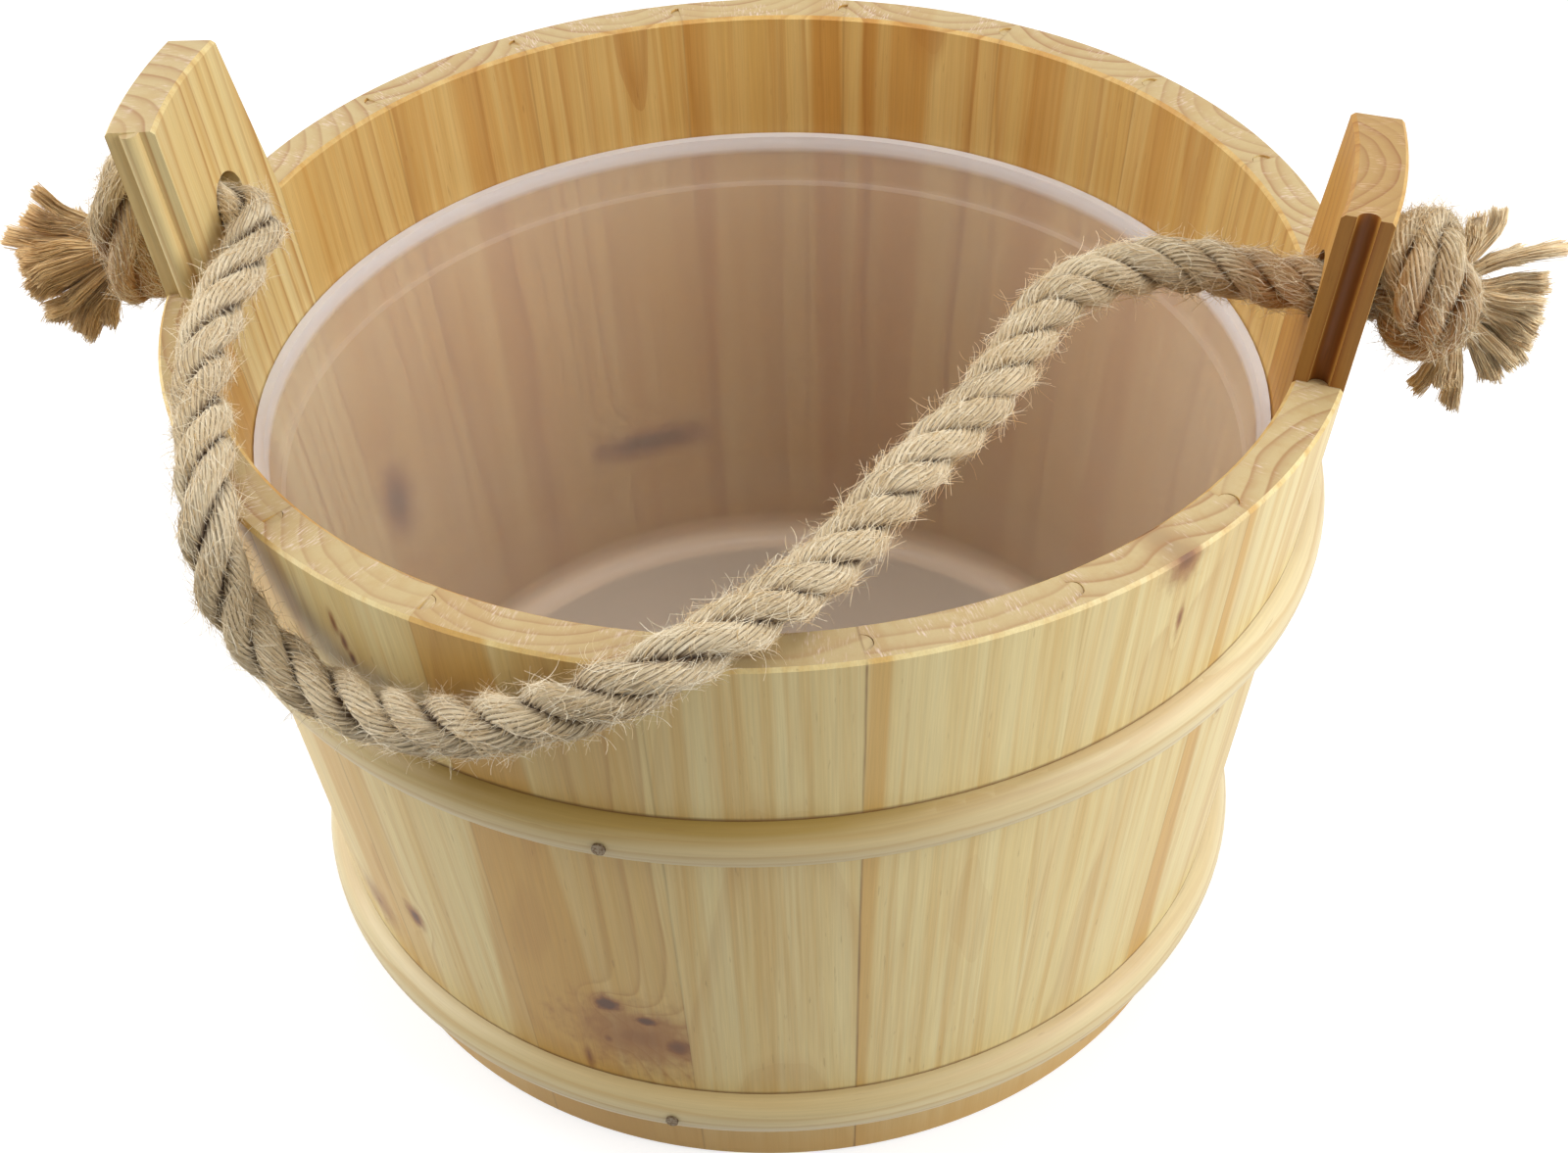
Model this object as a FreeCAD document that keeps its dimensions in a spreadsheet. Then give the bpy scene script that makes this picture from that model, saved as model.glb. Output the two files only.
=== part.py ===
"""Two-eared stave pail with a rope handle and a lift-out plastic liner.

Frame: +X runs from ear to ear, -Y is the front, +Z is up, and the origin is the middle of the
base. Lengths are millimetres and angles are degrees. Directions round the pail are measured
counter-clockwise from +X, so that the front is at -90.
"""
import FreeCAD, Part
import math
import os
import re
import Sketcher
from FreeCAD import Vector

# Name, value and meaning of every driving size.
SIZES = (
    ("pail_height", 180, "base to rim"),
    ("top_radius", 135, "outside of the rim"),
    ("base_radius", 111.5, "outside of the base"),
    ("wall", 11, "thickness of a stave, measured level"),
    ("edge_break", 0.8, "small bevel along the ends of a stave"),
    ("front_arc", 156.5, "angle of the plain staves in front of the ears"),
    ("ear_arc", 21.8, "angle of one ear stave"),
    ("back_staves", 8, "count of plain staves behind the ears"),
    ("bead_radius", 2.2, "round tongue along one edge of each stave"),
    ("cove_clearance", 0.15, "cove radius over bead radius"),
    ("ear_rise", 42, "rim to the top of an ear"),
    ("ear_relief", 5, "how much an ear narrows at the back of its top"),
    ("relief_twist", 20, "turn of the relief cut about the upright"),
    ("hole_rise", 8, "rim to the middle of the rope hole, upwards"),
    ("hole_diameter", 15, "rope hole"),
    ("chime", 10, "base to the underside of the bottom boards"),
    ("board_thickness", 10, "bottom boards"),
    ("board_count", 4, "count of bottom boards"),
    ("croze_depth", 3.5, "groove in the staves that holds the boards"),
    ("board_clearance", 0.2, "board edge to the bottom of the groove"),
    ("hoop_width", 12, "half-round hoop, up and down"),
    ("hoop_thickness", 5.5, "half-round hoop, outwards"),
    ("upper_hoop_drop", 52.5, "rim to the middle of the upper hoop"),
    ("lower_hoop_height", 22.2, "base to the middle of the lower hoop"),
    ("scarf_gap", 0.5, "slit of the slanted joint in a hoop"),
    ("scarf_slant", 70, "slant of that joint from the upright"),
    ("scarf_direction", 97, "where the hoop joint lies round the pail"),
    ("brad_radius", 0.7, "shank of a brad"),
    ("brad_length", 12, "shank of a brad"),
    ("brad_head_radius", 1.5, "head of a brad"),
    ("brad_head_height", 0.6, "head of a brad"),
    ("upper_brad_direction", -93.7, "the brad at the front of the upper hoop"),
    ("lower_brad_direction", -91.3, "the brad at the front of the lower hoop"),
    ("brad_spread", 9, "from the hoop joint to the brad on each side of it"),
    ("liner_height", 127.5, "liner, floor to lip"),
    ("liner_wall", 1.5, "liner thickness"),
    ("liner_clearance", 0.5, "lip to the wood"),
    ("liner_floor_gap", 3.5, "liner to the wood at the floor"),
    ("liner_corner", 7, "outer corner radius at the floor"),
    ("liner_step_drop", 13.5, "lip to the stacking step"),
    ("liner_step", 1, "depth of the stacking step"),
    ("lip_height", 2.2, "thick band at the lip"),
    ("lip_overhang", 0.8, "band proud of the liner wall"),
    ("rope_diameter", 12, "three-strand rope"),
    ("knot_gap", 0.6, "knot to the ear, at its nearest"),
    ("knot_turn_radius", 11.5, "middle of the rope's turns in a knot"),
    ("knot_tilt", 18, "lean of a turn out of the plane across the rope"),
    ("knot_twist", 8, "the same, the other way"),
    ("knot_spacing", 4.5, "between the middles of the two leaning turns"),
    ("knot_core_radius", 11, "crossing inside the knot"),
    ("left_knot_drop", 6, "how far the left knot hangs below its hole"),
    ("right_knot_drop", -2.5, "the same for the right knot, which sits above its hole"),
    ("tail_neck_radius", 8, "unlaid end where it leaves the knot"),
    ("tail_flare_radius", 19, "unlaid end at its brush"),
    ("tail_crown", 8, "doming of the brush"),
    ("tail_bow", 30, "radius of the hollow flare"),
    ("right_tail_length", 11, "knot to the widest of the right brush"),
    ("left_tail_length", 17, "knot to the widest of the left brush"),
    ("right_tail_droop", 12, "slope of the right end below level"),
    ("left_tail_droop", 26, "slope of the left end below level"),
    ("overrun", 4, "how far a cutting shape passes the surface"),
)

# Widths of the plain staves in front, from the left ear to the right one.
FRONT_SHARES = (19.8, 20.1, 19.5, 20.0, 18.6, 19.2, 18.9, 20.4)

# Middle of the rope, from the left knot through both ear holes to the right knot: it lies on the
# rim in front of the left ear, sags outside the wall and comes back over the rim. Each point is
# its direction round the pail, its distance out from the wall's outer face carried on upwards,
# and its height over the rim.
ROPE_ROUTE = (
    (-180.0, 0.5, 8.0),
    (-180.0, -12.7, 8.0),
    (-175.8, -21.4, 8.0),
    (-168.8, -19.8, 7.6),
    (-159.8, -15.6, 7.4),
    (-150.9, -10.7, 7.8),
    (-142.3, -6.9, 8.2),
    (-134.9, -0.8, 9.2),
    (-130.2, 6.9, 3.5),
    (-129.1, 10.4, -9.5),
    (-126.8, 10.5, -21.6),
    (-120.5, 8.5, -28.0),
    (-111.5, 8.2, -26.8),
    (-102.7, 8.2, -19.6),
    (-95.2, 8.8, -9.0),
    (-89.4, 8.8, 0.4),
    (-84.4, 3.2, 7.4),
    (-77.5, -11.0, 7.4),
    (-71.3, -24.7, 4.0),
    (-64.2, -38.9, 3.6),
    (-54.3, -50.7, 4.6),
    (-41.6, -58.1, 5.2),
    (-27.2, -64.8, 6.6),
    (-11.9, -65.7, 9.2),
    (-2.4, -51.9, 11.4),
    (0.4, -34.4, 10.8),
    (0.0, -16.5, 7.9),
    (0.0, 0.5, 7.9),
)
# Part of the shorter run beside a point of the route that its bend takes up.
BEND_SHARE = 0.45

doc = FreeCAD.newDocument("pail")
sheet = doc.addObject("Spreadsheet::Sheet", "Sizes")
share_names = ["front_share_%d" % (i + 1) for i in range(len(FRONT_SHARES))]
share_meaning = "relative width of a front stave"
rows = list(SIZES) + [(name, share, share_meaning) for name, share in zip(share_names, FRONT_SHARES)]
for row, (name, value, meaning) in enumerate(rows, start=1):
    sheet.set("A%d" % row, meaning)
    sheet.set("B%d" % row, str(value))
    sheet.setAlias("B%d" % row, name)
doc.recompute()
names = {name for name, _, _ in rows}


def bound(text):
    """An expression in the sheet's names, as other objects write it."""
    return re.sub(r"[a-z][a-z_0-9]*",
                  lambda word: "Sizes." + word.group() if word.group() in names else word.group(), text)


def size(text):
    """The value of an expression in the sheet's names."""
    found = sheet.evalExpression(text)
    return float(getattr(found, "Value", found))


def bind(thing, **expressions):
    """Binds an object's properties to expressions in the sheet's names."""
    for key, text in expressions.items():
        thing.setExpression(key, bound(text))
    return thing


# Shared expressions: the lean of the wall, the heights that are set from the rim, and the wall's
# outer and inner radius at a height.
LEAN = "atan((top_radius - base_radius) / pail_height)"
EAR_TOP = "(pail_height + ear_rise)"
HOLE = "(pail_height + hole_rise)"
UPPER_HOOP = "(pail_height - upper_hoop_drop)"


def outer(height):
    return "(base_radius + (top_radius - base_radius) * (%s) / pail_height)" % height


def inner(height):
    return "(%s - wall)" % outer(height)


def new_body(label):
    body = doc.addObject("PartDesign::Body", label)
    body.Label = label
    return body


def outline(body, corners, bulges=None):
    """A closed sketch upright on the X axis. corners are (radius, height) expressions; bulges
    gives the radius of the sides that are arcs, by number, and which way they swell."""
    bulges = bulges or {}
    sketch = body.newObject("Sketcher::SketchObject", body.Label + "_outline")
    planes = {plane.Role: plane for plane in body.Origin.OriginFeatures}
    sketch.AttachmentSupport = [(planes["XZ_Plane"], "")]
    sketch.MapMode = "FlatFace"
    points = [Vector(size(across), size(up), 0) for across, up in corners]
    ends = []
    for side, start in enumerate(points):
        finish = points[(side + 1) % len(points)]
        if side in bulges:
            radius, swell = bulges[side]
            chord = finish - start
            rise = size(radius) - math.sqrt(max(size(radius) ** 2 - (chord.Length / 2) ** 2, 0))
            normal = Vector(chord.y, -chord.x, 0).normalize() * swell
            edge = Part.Arc(start, (start + finish) / 2 + normal * rise, finish)
        else:
            edge = Part.LineSegment(start, finish)
        number = sketch.addGeometry(edge)
        first, last = (sketch.getPoint(number, end).distanceToPoint(start) for end in (1, 2))
        ends.append((number, 1, 2) if first < last else (number, 2, 1))
        if side in bulges:
            place = sketch.addConstraint(Sketcher.Constraint("Radius", number, size(radius)))
            sketch.setExpression("Constraints[%d]" % place, bound(radius))
    for side, (across, up) in enumerate(corners):
        number, first, _ = ends[side]
        before, _, last = ends[side - 1]
        sketch.addConstraint(Sketcher.Constraint("Coincident", before, last, number, first))
        for kind, axis, text in (("DistanceX", -2, across), ("DistanceY", -1, up)):
            if text == "0":
                sketch.addConstraint(Sketcher.Constraint("PointOnObject", number, first, axis))
                continue
            place = sketch.addConstraint(Sketcher.Constraint(kind, -1, 1, number, first, size(text)))
            sketch.setExpression("Constraints[%d]" % place, bound(text))
    return sketch


def revolve(body, sketch, angle):
    """Turns a sketch about the upright axis, counter-clockwise from +X."""
    turned = body.newObject("PartDesign::Revolution", body.Label + "_round")
    turned.Profile = sketch
    turned.ReferenceAxis = (sketch, ["V_Axis"])
    bind(turned, Angle=angle)
    return turned


def rod(body, kind, name, radius, length, place, turn):
    """Adds or takes away a cylinder: kind is Additive or Subtractive."""
    made = body.newObject("PartDesign::%sCylinder" % kind, "%s_%s" % (body.Label, name))
    made.Refine = False
    bind(made, Radius=radius, Height=length,
         Placement="placement(vector(%s; %s; %s); %s)" % (*place, turn))
    return made


def turn_z(angle):
    return "rotation(vector(0; 0; 1); %s)" % angle


def turn_y(angle):
    return "rotation(vector(0; 1; 0); %s)" % angle


def turn_x(angle):
    return "rotation(vector(1; 0; 0); %s)" % angle


# The brads, as (height, direction): one at the front of each hoop and one on each side of its
# joint.
BRADS = [(height, direction)
         for height, front in ((UPPER_HOOP, "upper_brad_direction"),
                               ("lower_hoop_height", "lower_brad_direction"))
         for direction in (front, "(scarf_direction - brad_spread)", "(scarf_direction + brad_spread)")]


def brad_seat(height):
    """Radius of a hoop's crest, where a brad's head bears."""
    return "(%s + hoop_thickness / cos(%s))" % (outer(height), LEAN)


def brad_holes(body, start, reach, level=None):
    """Takes the brads' shanks out of a body that begins at one direction and spans an angle."""
    for number, (height, direction) in enumerate(BRADS, start=1):
        if level not in (None, height):
            continue
        way = (size(direction) - size(start)) % 360
        margin = math.degrees(size("brad_radius") / size(outer(height)))
        if way - margin < size(reach) or way + margin > 360:
            aim = "(%s - (%s))" % (direction, start)
            inward = "(%s - brad_length)" % brad_seat(height)
            place = ("%s * cos(%s)" % (inward, aim), "%s * sin(%s)" % (inward, aim), height)
            rod(body, "Subtractive", "brad_hole_%d" % number, "brad_radius", "brad_length + overrun",
                place, " * ".join((turn_z(aim), turn_y("90"), turn_z("45"))))


def stave(label, start, width, top):
    """A plain or an ear stave: a slice of the tapered wall with the croze, a cove along its
    first edge and a bead along its last."""
    body = new_body(label)
    step = "edge_break"
    croze_top = "chime + board_thickness"
    corners = (
        ("%s - %s" % (outer("0"), step), "0"),
        (outer(step), step),
        (outer("%s - %s" % (top, step)), "%s - %s" % (top, step)),
        ("%s - %s" % (outer(top), step), top),
        ("%s + %s" % (inner(top), step), top),
        (inner("%s - %s" % (top, step)), "%s - %s" % (top, step)),
        (inner(croze_top), croze_top),
        ("%s + croze_depth" % inner("chime"), croze_top),
        ("%s + croze_depth" % inner("chime"), "chime"),
        (inner("chime"), "chime"),
        (inner(step), step),
        ("%s + %s" % (inner("0"), step), "0"),
    )
    revolve(body, outline(body, corners), width)
    middle = "(%s - wall / 2)" % outer("0")
    slope = turn_y(LEAN)
    run = "(%s) / cos(%s)" % (top, LEAN)
    below = "overrun * tan(%s)" % LEAN
    rod(body, "Subtractive", "cove", "bead_radius + cove_clearance", run + " + 2 * overrun",
        ("%s - %s" % (middle, below), "0", "-overrun"), slope)
    inset = "bead_radius * sin(%s)" % LEAN
    rod(body, "Additive", "bead", "bead_radius", "%s - 2 * %s / cos(%s)" % (run, inset, LEAN),
        ("(%s + %s * tan(%s)) * cos(%s)" % (middle, inset, LEAN, width),
         "(%s + %s * tan(%s)) * sin(%s)" % (middle, inset, LEAN, width), inset),
        turn_z(width) + " * " + slope)
    brad_holes(body, start, width)
    bind(body, Placement="placement(vector(0; 0; 0); %s)" % turn_z(start))
    return body


def ear(label, start, hole_direction, relief_side):
    """An ear stave: it stands above the rim, takes the rope, and its back edge is sawn slanting."""
    body = stave(label, start, "ear_arc", EAR_TOP)
    aim = "%s - (%s)" % (hole_direction, start)
    near = "(%s - wall - overrun)" % outer(HOLE)
    rod(body, "Subtractive", "rope_hole", "hole_diameter / 2", "wall + 3 * overrun",
        ("%s * cos(%s)" % (near, aim), "%s * sin(%s)" % (near, aim), HOLE),
        turn_z(aim) + " * " + turn_y("90"))
    edge = "0" if relief_side < 0 else "ear_arc"
    lean = "atan(ear_relief / ear_rise)"
    depth = "(2 * wall)"
    cut = body.newObject("PartDesign::SubtractiveBox", label + "_relief")
    root = "(%s)" % inner("pail_height")
    shift = "0" if relief_side > 0 else "-" + depth
    turn = " * ".join((turn_z(edge), turn_z("%d * relief_twist" % -relief_side),
                       turn_x("%d * %s" % (relief_side, lean))))
    bind(cut, Length="3 * wall + 2 * overrun", Width=depth, Height="2 * ear_rise",
         Placement="placement(vector(%s * cos(%s); %s * sin(%s); pail_height); %s)"
         " * placement(vector(-overrun; %s; 0); %s)" % (root, edge, root, edge, turn, shift, turn_z("0")))
    return body


def make_staves():
    """The left ear, the front staves, the right ear and the back staves, in a ring."""
    total = "(%s)" % " + ".join(share_names)
    right_edge = "(front_arc / 2 - 90)"
    left_edge = "(-front_arc / 2 - 90 - ear_arc)"
    made = [ear("ear_stave_left", left_edge, "(-180)", -1), ear("ear_stave_right", right_edge, "0", 1)]
    passed = "0"
    for number, share in enumerate(share_names, start=1):
        start = "(-front_arc / 2 - 90 + front_arc * (%s) / %s)" % (passed, total)
        width = "(front_arc * %s / %s)" % (share, total)
        made.append(stave("stave_front_%d" % number, start, width, "pail_height"))
        passed += " + " + share
    back_width = "((360 - front_arc - 2 * ear_arc) / back_staves)"
    for number in range(int(size("back_staves"))):
        start = "(%s + ear_arc + %d * %s)" % (right_edge, number, back_width)
        made.append(stave("stave_back_%d" % (number + 1), start, back_width, "pail_height"))
    return made


def make_boards():
    """The bottom: a disc in the croze, sawn into boards that lie side by side."""
    made = []
    radius = "(%s + croze_depth - board_clearance)" % inner("chime")
    for number in range(int(size("board_count"))):
        disc = doc.addObject("Part::Cylinder", "bottom_disc_%d" % (number + 1))
        bind(disc, Radius=radius, Height="board_thickness",
             Placement="placement(vector(0; 0; chime); %s)" % turn_z("0"))
        strip = doc.addObject("Part::Box", "bottom_strip_%d" % (number + 1))
        bind(strip, Length="2 * (%s + overrun)" % radius, Width="2 * %s / board_count" % radius,
             Height="board_thickness",
             Placement="placement(vector(-%s - overrun; %s * (%d * 2 / board_count - 1); chime); %s)"
             % (radius, radius, number, turn_z("0")))
        board = doc.addObject("Part::Common", "bottom_board_%d" % (number + 1))
        board.Base, board.Tool = disc, strip
        board.Label = "bottom_board_%d" % (number + 1)
        made.append(board)
    return made


def make_hoop(label, height):
    """A half-round wooden hoop, bent to the wall, with a slanted joint and its brads' holes."""
    body = new_body(label)
    low, high = "(%s - hoop_width / 2)" % height, "(%s + hoop_width / 2)" % height
    chord = "(hoop_width / cos(%s))" % LEAN
    swell = "((%s / 2) ^ 2 + hoop_thickness ^ 2) / (2 * hoop_thickness)" % chord
    sketch = outline(body, ((outer(low), low), (outer(high), high)), {0: (swell, 1)})
    revolve(body, sketch, "360")
    brad_holes(body, "0", "360", height)
    slit = body.newObject("PartDesign::SubtractiveBox", label + "_joint")
    reach = "hoop_width / cos(scarf_slant) + 2 * overrun"
    bind(slit, Length="hoop_thickness + 2 * overrun", Width="scarf_gap", Height=reach,
         Placement="placement(vector(0; 0; %s); %s) * placement(vector(%s - overrun; 0; 0); %s)"
         " * placement(vector(0; -scarf_gap / 2; -(%s) / 2); %s)"
         % (height, turn_z("scarf_direction"), outer(height), turn_x("scarf_slant"), reach, turn_z("0")))
    return body


def make_brads():
    """The brads that hold both hoops: one node, because they are all alike."""
    brads = []
    for number, (height, direction) in enumerate(BRADS, start=1):
        seat = brad_seat(height)
        solids = []
        for name, radius, length, reach in (
                ("shank", "brad_radius", "brad_length", "(%s - brad_length)" % seat),
                ("head", "brad_head_radius", "brad_head_height", seat)):
            solid = doc.addObject("Part::Cylinder", "brad_%s_%d" % (name, number))
            bind(solid, Radius=radius, Height=length,
                 Placement="placement(vector(%s * cos(%s); %s * sin(%s); %s); %s * %s)"
                 % (reach, direction, reach, direction, height, turn_z(direction), turn_y("90")))
            solids.append(solid)
        brad = doc.addObject("Part::Fuse", "brad_%d" % number)
        brad.Base, brad.Tool = solids
        brads.append(brad)
    group = doc.addObject("Part::Compound", "hoop_brads")
    group.Links = brads
    group.Label = "hoop_brads"
    return group


def make_liner():
    """The plastic tub: flat floor, rounded corner, tapered wall, stacking step and a thick lip."""
    body = new_body("liner")
    floor = "(chime + board_thickness)"
    top = "(%s + liner_height)" % floor
    lip = "(%s - liner_clearance)" % inner(top)
    foot = "(%s - liner_floor_gap)" % inner(floor)
    lean = "atan((%s - lip_overhang - %s) / liner_height)" % (lip, foot)
    turn = "(liner_corner * tan((90 deg - %s) / 2))" % lean

    def side(height):
        return "(%s + (%s - %s) * tan(%s))" % (foot, height, floor, lean)

    step = "(%s - liner_step_drop)" % top
    under_lip = "(%s - lip_height)" % top
    inside = "liner_wall / cos(%s)" % lean
    small = "(liner_corner - liner_wall)"
    small_turn = "(%s * tan((90 deg - %s) / 2))" % (small, lean)
    inner_foot = "(%s + liner_wall * tan(%s) - %s)" % (foot, lean, inside)
    corners = (
        ("0", floor),
        ("%s - %s" % (foot, turn), floor),
        (side("(%s + %s * cos(%s))" % (floor, turn, lean)), "%s + %s * cos(%s)" % (floor, turn, lean)),
        ("%s - liner_step" % side(step), step),
        (side(step), "%s + liner_step" % step),
        (side(under_lip), under_lip),
        ("%s + lip_overhang" % side(under_lip), under_lip),
        (lip, top),
        ("%s - %s - lip_overhang" % (lip, inside), top),
        ("%s - %s" % (side(step), inside), "%s + liner_step" % step),
        ("%s - liner_step - %s" % (side(step), inside), step),
        ("%s + %s * sin(%s)" % (inner_foot, small_turn, lean),
         "%s + liner_wall + %s * cos(%s)" % (floor, small_turn, lean)),
        ("%s - %s" % (inner_foot, small_turn), "%s + liner_wall" % floor),
        ("0", "%s + liner_wall" % floor),
    )
    revolve(body, outline(body, corners, {1: ("liner_corner", 1), 11: (small, -1)}), "360")
    return body


def route_point(direction, off_wall, over_rim):
    """A point of the rope's route."""
    height = "(pail_height + (%s))" % over_rim
    radius = size(outer(height)) + off_wall
    way = math.radians(direction)
    return Vector(radius * math.cos(way), radius * math.sin(way), size(height))


def rope_path():
    """Straight runs and tangent arcs through the rope's route."""
    points = [route_point(*point) for point in ROPE_ROUTE]
    edges = []
    radii = []
    cursor = points[0]
    for before, corner, after in zip(points, points[1:], points[2:]):
        inbound, outbound = (corner - before), (after - corner)
        tangent = BEND_SHARE * min(inbound.Length, outbound.Length)
        half = inbound.getAngle(outbound) / 2
        start = corner - inbound.normalize() * tangent
        finish = corner + outbound.normalize() * tangent
        radius = tangent / math.tan(half)
        toward = (outbound - inbound).normalize()
        middle = corner + toward * (radius / math.cos(half) - radius)
        edges.append(Part.LineSegment(cursor, start).toShape())
        edges.append(Part.Arc(start, middle, finish).toShape())
        radii.append(radius)
        cursor = finish
    edges.append(Part.LineSegment(cursor, points[-1]).toShape())
    return Part.Wire(edges), points, radii


def make_rope():
    """The free rope between the knots: a plain tube along the route."""
    path, points, radii = rope_path()
    radius = size("rope_diameter") / 2
    section = Part.Wire([Part.Circle(points[0], points[1] - points[0], radius).toShape()])
    tube = path.makePipeShell([section], True, False)
    expected = math.pi * radius ** 2 * path.Length
    print("rope length %.1f, volume ratio %.4f" % (path.Length, tube.Volume / expected))
    print("rope radii in diameters: " + " ".join("%.1f" % (r / (2 * radius)) for r in radii))
    rope = doc.addObject("Part::Feature", "rope_span")
    rope.Shape = tube
    rope.Label = "rope_span"
    return rope


def make_knot(label, side, drop):
    """A stopper knot: two turns of the rope that lean across each other round a crossing."""
    height = "(%s - %s)" % (HOLE, drop)
    half = "(knot_turn_radius * sqrt(1 - (cos(knot_tilt) * cos(knot_twist)) ^ 2) + rope_diameter / 2)"
    highest = "(%s + abs(%s) + knot_turn_radius + rope_diameter / 2)" % (HOLE, drop)
    first = "(%s + knot_gap + %s)" % (outer(highest), half)
    second = "(%s + knot_spacing)" % first
    rings = []
    for number, (middle, lean, twist) in enumerate(((first, "knot_tilt", "knot_twist"),
                                                    (second, "-knot_twist", "-knot_tilt")), start=1):
        ring = doc.addObject("Part::Torus", "%s_turn_%d" % (label, number))
        bind(ring, Radius1="knot_turn_radius", Radius2="rope_diameter / 2", Angle1="0", Angle2="360",
             Placement="placement(vector(%d * %s; 0; %s); %s * %s)"
             % (side, middle, height, turn_z(twist), turn_y("90 + " + lean)))
        rings.append(ring)
    core = doc.addObject("Part::Sphere", label + "_core")
    bind(core, Radius="knot_core_radius",
         Placement="placement(vector(%d * (%s + %s) / 2; 0; %s); %s)"
         % (side, first, second, height, turn_z("0")))
    neck = doc.addObject("Part::Cylinder", label + "_neck")
    _, off_wall, over_rim = ROPE_ROUTE[0 if side < 0 else -1]
    level = "(pail_height + %s)" % over_rim
    start = "(%s + %s)" % (outer(level), off_wall)
    bind(neck, Radius="rope_diameter / 2", Height="%s - %s" % (first, start),
         Placement="placement(vector(%d * %s; 0; %s); %s)" % (side, start, level, turn_y("%d * 90" % side)))
    knot = core
    for number, solid in enumerate([neck] + rings, start=1):
        joined = doc.addObject("Part::Fuse", "%s_joined_%d" % (label, number))
        joined.Base, joined.Tool = knot, solid
        joined.Refine = False
        knot = joined
    knot.Label = label
    return knot, second, height


def make_tail(label, side, knot, knot_middle, height, length, droop):
    """The rope's unlaid end: a brush that flares out of the knot and ends in a dome."""
    body = new_body(label + "_brush")
    corners = (("0", "0"), ("tail_neck_radius", "0"), ("tail_flare_radius", length),
               ("0", "%s + tail_crown" % length))
    dome = "(tail_flare_radius ^ 2 + tail_crown ^ 2) / (2 * tail_crown)"
    revolve(body, outline(body, corners, {1: ("tail_bow", -1), 2: (dome, 1)}), "360")
    bind(body, Placement="placement(vector(%d * (%s + rope_diameter / 2); 0; %s); %s)"
         % (side, knot_middle, height, turn_y("%d * (90 + %s)" % (side, droop))))
    tail = doc.addObject("Part::Cut", label)
    tail.Base, tail.Tool = body, knot
    tail.Label = label
    return tail


pieces = make_staves() + make_boards()
pieces += [make_hoop("hoop_upper", UPPER_HOOP), make_hoop("hoop_lower", "lower_hoop_height")]
pieces += [make_brads(), make_liner(), make_rope()]
for name, side in (("left", -1), ("right", 1)):
    knot, knot_middle, height = make_knot("rope_knot_" + name, side, name + "_knot_drop")
    pieces.append(knot)
    pieces.append(make_tail("rope_tail_" + name, side, knot, knot_middle, height,
                            name + "_tail_length", name + "_tail_droop"))
doc.recompute()

faults = [thing.Label for thing in doc.Objects if {"Invalid", "Error"} & set(thing.State)]
faults += [piece.Label for piece in pieces if piece.Shape.isNull() or not piece.Shape.isValid()]
if faults:
    raise RuntimeError("not sound: " + ", ".join(faults))

os.makedirs("parts", exist_ok=True)
for piece in pieces:
    piece.Shape.exportStep(os.path.join("parts", piece.Label + ".step"))
    box = piece.Shape.BoundBox
    print("%-18s solids %d volume %9.1f  x %7.1f %7.1f  y %7.1f %7.1f  z %6.1f %6.1f" % (
        piece.Label, len(piece.Shape.Solids), piece.Shape.Volume,
        box.XMin, box.XMax, box.YMin, box.YMax, box.ZMin, box.ZMax))
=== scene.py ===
"""Looks of the two-eared stave pail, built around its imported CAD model.

Lengths are metres unless a name or comment says mm. +X runs from ear to ear and -Y is the front.
"""

import math

import bpy
import numpy as np
from mathutils import Matrix, Vector, noise


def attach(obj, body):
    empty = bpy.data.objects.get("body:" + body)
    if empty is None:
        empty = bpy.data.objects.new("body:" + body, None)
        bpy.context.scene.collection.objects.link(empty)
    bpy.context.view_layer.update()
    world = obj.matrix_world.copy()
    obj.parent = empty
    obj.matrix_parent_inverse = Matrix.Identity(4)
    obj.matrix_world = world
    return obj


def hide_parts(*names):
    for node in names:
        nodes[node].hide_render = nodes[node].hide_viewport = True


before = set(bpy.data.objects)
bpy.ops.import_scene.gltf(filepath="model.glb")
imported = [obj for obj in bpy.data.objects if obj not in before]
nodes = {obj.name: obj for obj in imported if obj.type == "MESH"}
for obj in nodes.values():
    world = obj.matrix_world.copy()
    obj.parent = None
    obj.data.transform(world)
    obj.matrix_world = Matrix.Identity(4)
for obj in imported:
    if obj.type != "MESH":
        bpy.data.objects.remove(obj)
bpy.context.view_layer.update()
MM = 0.001
TO_MM = 1000.0

# Camera, as the photograph was taken: its place and axes, its lens and frame width in mm, and the
# nearest distance that it shows.
CAMERA_PLACE = Vector((99.392, -457.280, 484.826)) * MM
CAMERA_RIGHT = Vector((0.98323, 0.18002, -0.02934))
CAMERA_UP = Vector((-0.09444, 0.64009, 0.76247))
CAMERA_BACK = Vector((0.15604, -0.74691, 0.64635))
CAMERA_LENS = 55.65
CAMERA_SENSOR = 36
CAMERA_NEAR = 0.01

# Studio: the point that the lamps face, each lamp's name, place, width and watts, the room's light on
# the object, and the floor's width, level, grey and the glow that shows but lights nothing.
LIT_MIDDLE = Vector((0, 0, 0.10))
LAMPS = (
    ("left", (-1.05, -0.10, 0.66), 0.9, 12.4),
    ("right", (1.05, -0.20, 0.68), 0.9, 13.4),
    ("top", (0.0, 0.2, 1.25), 1.0, 6.8),
)
ROOM_COLOUR = (1.0, 0.99, 0.97, 1)
ROOM_STRENGTH = 0.23
WHITE = (1, 1, 1, 1)
FLOOR_SIZE = 6
FLOOR_LEVEL = -0.0004
FLOOR_GREY = (0.44, 0.44, 0.44, 1)
FLOOR_GLOW = 0.70

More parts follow.
